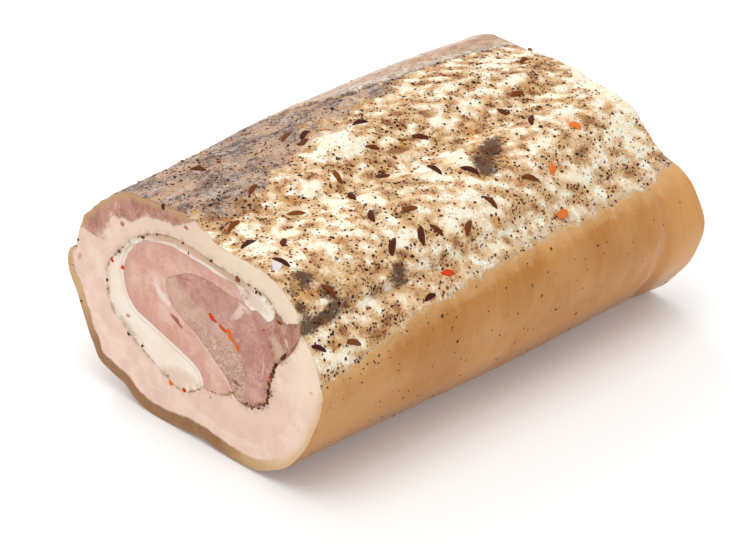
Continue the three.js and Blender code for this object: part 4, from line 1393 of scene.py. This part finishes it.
# %% Finishes for the spices
def spice_finish(name, dark, light, low, high):
    """A dried spice: each copy between two colours by its own tint, ribbed by noise along it."""
    f = Finish(name)
    ribs = f.noise(f.stretched(f.carried("own", True), (0.25, 2, 2)), 0.6, 3)
    colour = f.blend((f.carried("tint") * 0.7 + ribs * 0.6).rise(low, high), dark, light)
    return f.done(Base_Color=colour, Roughness=0.5 + ribs * 0.3, Normal=f.bump(ribs * 0.25),
                  Specular_IOR_Level=0.2)


# name, darkest and lightest tone, the tints at which they are reached, and the pieces that wear it
SPICES = [
    ("caraway", tone(84, 54, 46), tone(142, 84, 54), 0.35, 1.1, ("caraway_seeds", "seam_seeds")),
    ("chilli", tone(222, 76, 34), tone(238, 136, 70), 0.3, 1.1, ("chilli_flakes", "seam_chilli")),
    ("pepper", tone(66, 46, 36), tone(156, 86, 42), 0.5, 1.05, ("pepper_grains",)),
    ("crumbs", tone(88, 60, 48), tone(158, 102, 66), 0.3, 1, ("seam_crumbs",)),
    ("pale_chips", tone(214, 204, 198), tone(246, 243, 240), 0.3, 0.9, ("pale_chips",)),
]
for *recipe, wearers in SPICES:
    finish = spice_finish(*recipe)
    for name in wearers:
        pieces[name].data.materials.append(finish)
print("spices:", [row[0] for row in SPICES])

# %% [markdown]
# ## Floor, light and camera
#
# The photo's light is that of a white tent: bright from above and behind, softer from the camera's side, on
# a white table that glows a little itself, so that only the contact shadow stays. The camera stands far off
# with a long lens, so that lines along the roll stay almost parallel.


# %% Studio
def looking(place, direction):
    """The place and turn of a lamp or camera at `place`, in metres, that looks in that direction."""
    return Matrix.Translation(place) @ Vector(direction).to_track_quat("-Z", "Y").to_matrix().to_4x4()


FLOOR_SIZE = 4  # metres
floor_mesh = bpy.data.meshes.new("floor")
corner = FLOOR_SIZE / 2 * np.array([(-1, -1, 0), (1, -1, 0), (1, 1, 0), (-1, 1, 0)])
floor_mesh.from_pydata(corner.tolist(), [], [(0, 1, 2, 3)])
floor = added("floor", floor_mesh)
floor_mesh.materials.append(Finish("white_floor").done(
    Base_Color=(0.93, 0.93, 0.93, 1), Roughness=0.55, Specular_IOR_Level=0.25,
    Emission_Color=(1, 0.985, 0.97, 1), Emission_Strength=0.12))
floor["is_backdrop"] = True

world = bpy.data.worlds.new("tent")
world.use_nodes = True
world.node_tree.nodes["Background"].inputs["Color"].default_value = (1, 1, 1, 1)
world.node_tree.nodes["Background"].inputs["Strength"].default_value = 0.66
bpy.context.scene.world = world
bpy.context.scene.view_settings.view_transform = "Standard"

# name, place, target, size in metres, power
SOFTBOXES = [("key", (-0.22, -0.1, 0.88), (0, 0, 0.04), 0.6, 3.5),
             ("back", (0.3, 0.7, 0.6), (0, 0, 0.03), 0.5, 2)]
for name, place, target, size, power in SOFTBOXES:
    light = bpy.data.lights.new(name, "AREA")
    light.size, light.energy = size, power
    added(name, light).matrix_world = looking(place, Vector(target) - Vector(place))

CAMERA_TURN, CAMERA_TILT = np.radians(46), np.radians(30)
CAMERA_AWAY = 1180.0
TARGET = np.array([0, 6.85, 20.27])
FOCAL_PIXELS, PHOTO_WIDTH, SENSOR = 4000.0, 733, 36
ahead = np.array([np.cos(CAMERA_TILT) * np.cos(CAMERA_TURN), np.cos(CAMERA_TILT) * np.sin(CAMERA_TURN),
                  -np.sin(CAMERA_TILT)])
lens = bpy.data.cameras.new("camera")
lens.sensor_width = SENSOR
lens.lens = FOCAL_PIXELS / PHOTO_WIDTH * SENSOR
camera = added("camera", lens)
camera.matrix_world = looking((TARGET - ahead * CAMERA_AWAY + SHIFT) * MM, ahead)
bpy.context.scene.camera = camera
print("camera: lens", round(lens.lens, 1), "mm, lamps:", len(SOFTBOXES))

# %% [markdown]
# ## The sizes, and the end
#
# Both boxes, the solids' and the dressed model's, are kept and printed.

# %% Sizes and finish
bpy.context.view_layer.update()
dressed_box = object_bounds()


def plain(box):
    """A box as plain lists of numbers."""
    return json.loads(json.dumps(box, default=list))


{"cad": plain(cad_box), "dressed": plain(dressed_box)}
print("cad", plain(cad_box), "dressed", plain(dressed_box))
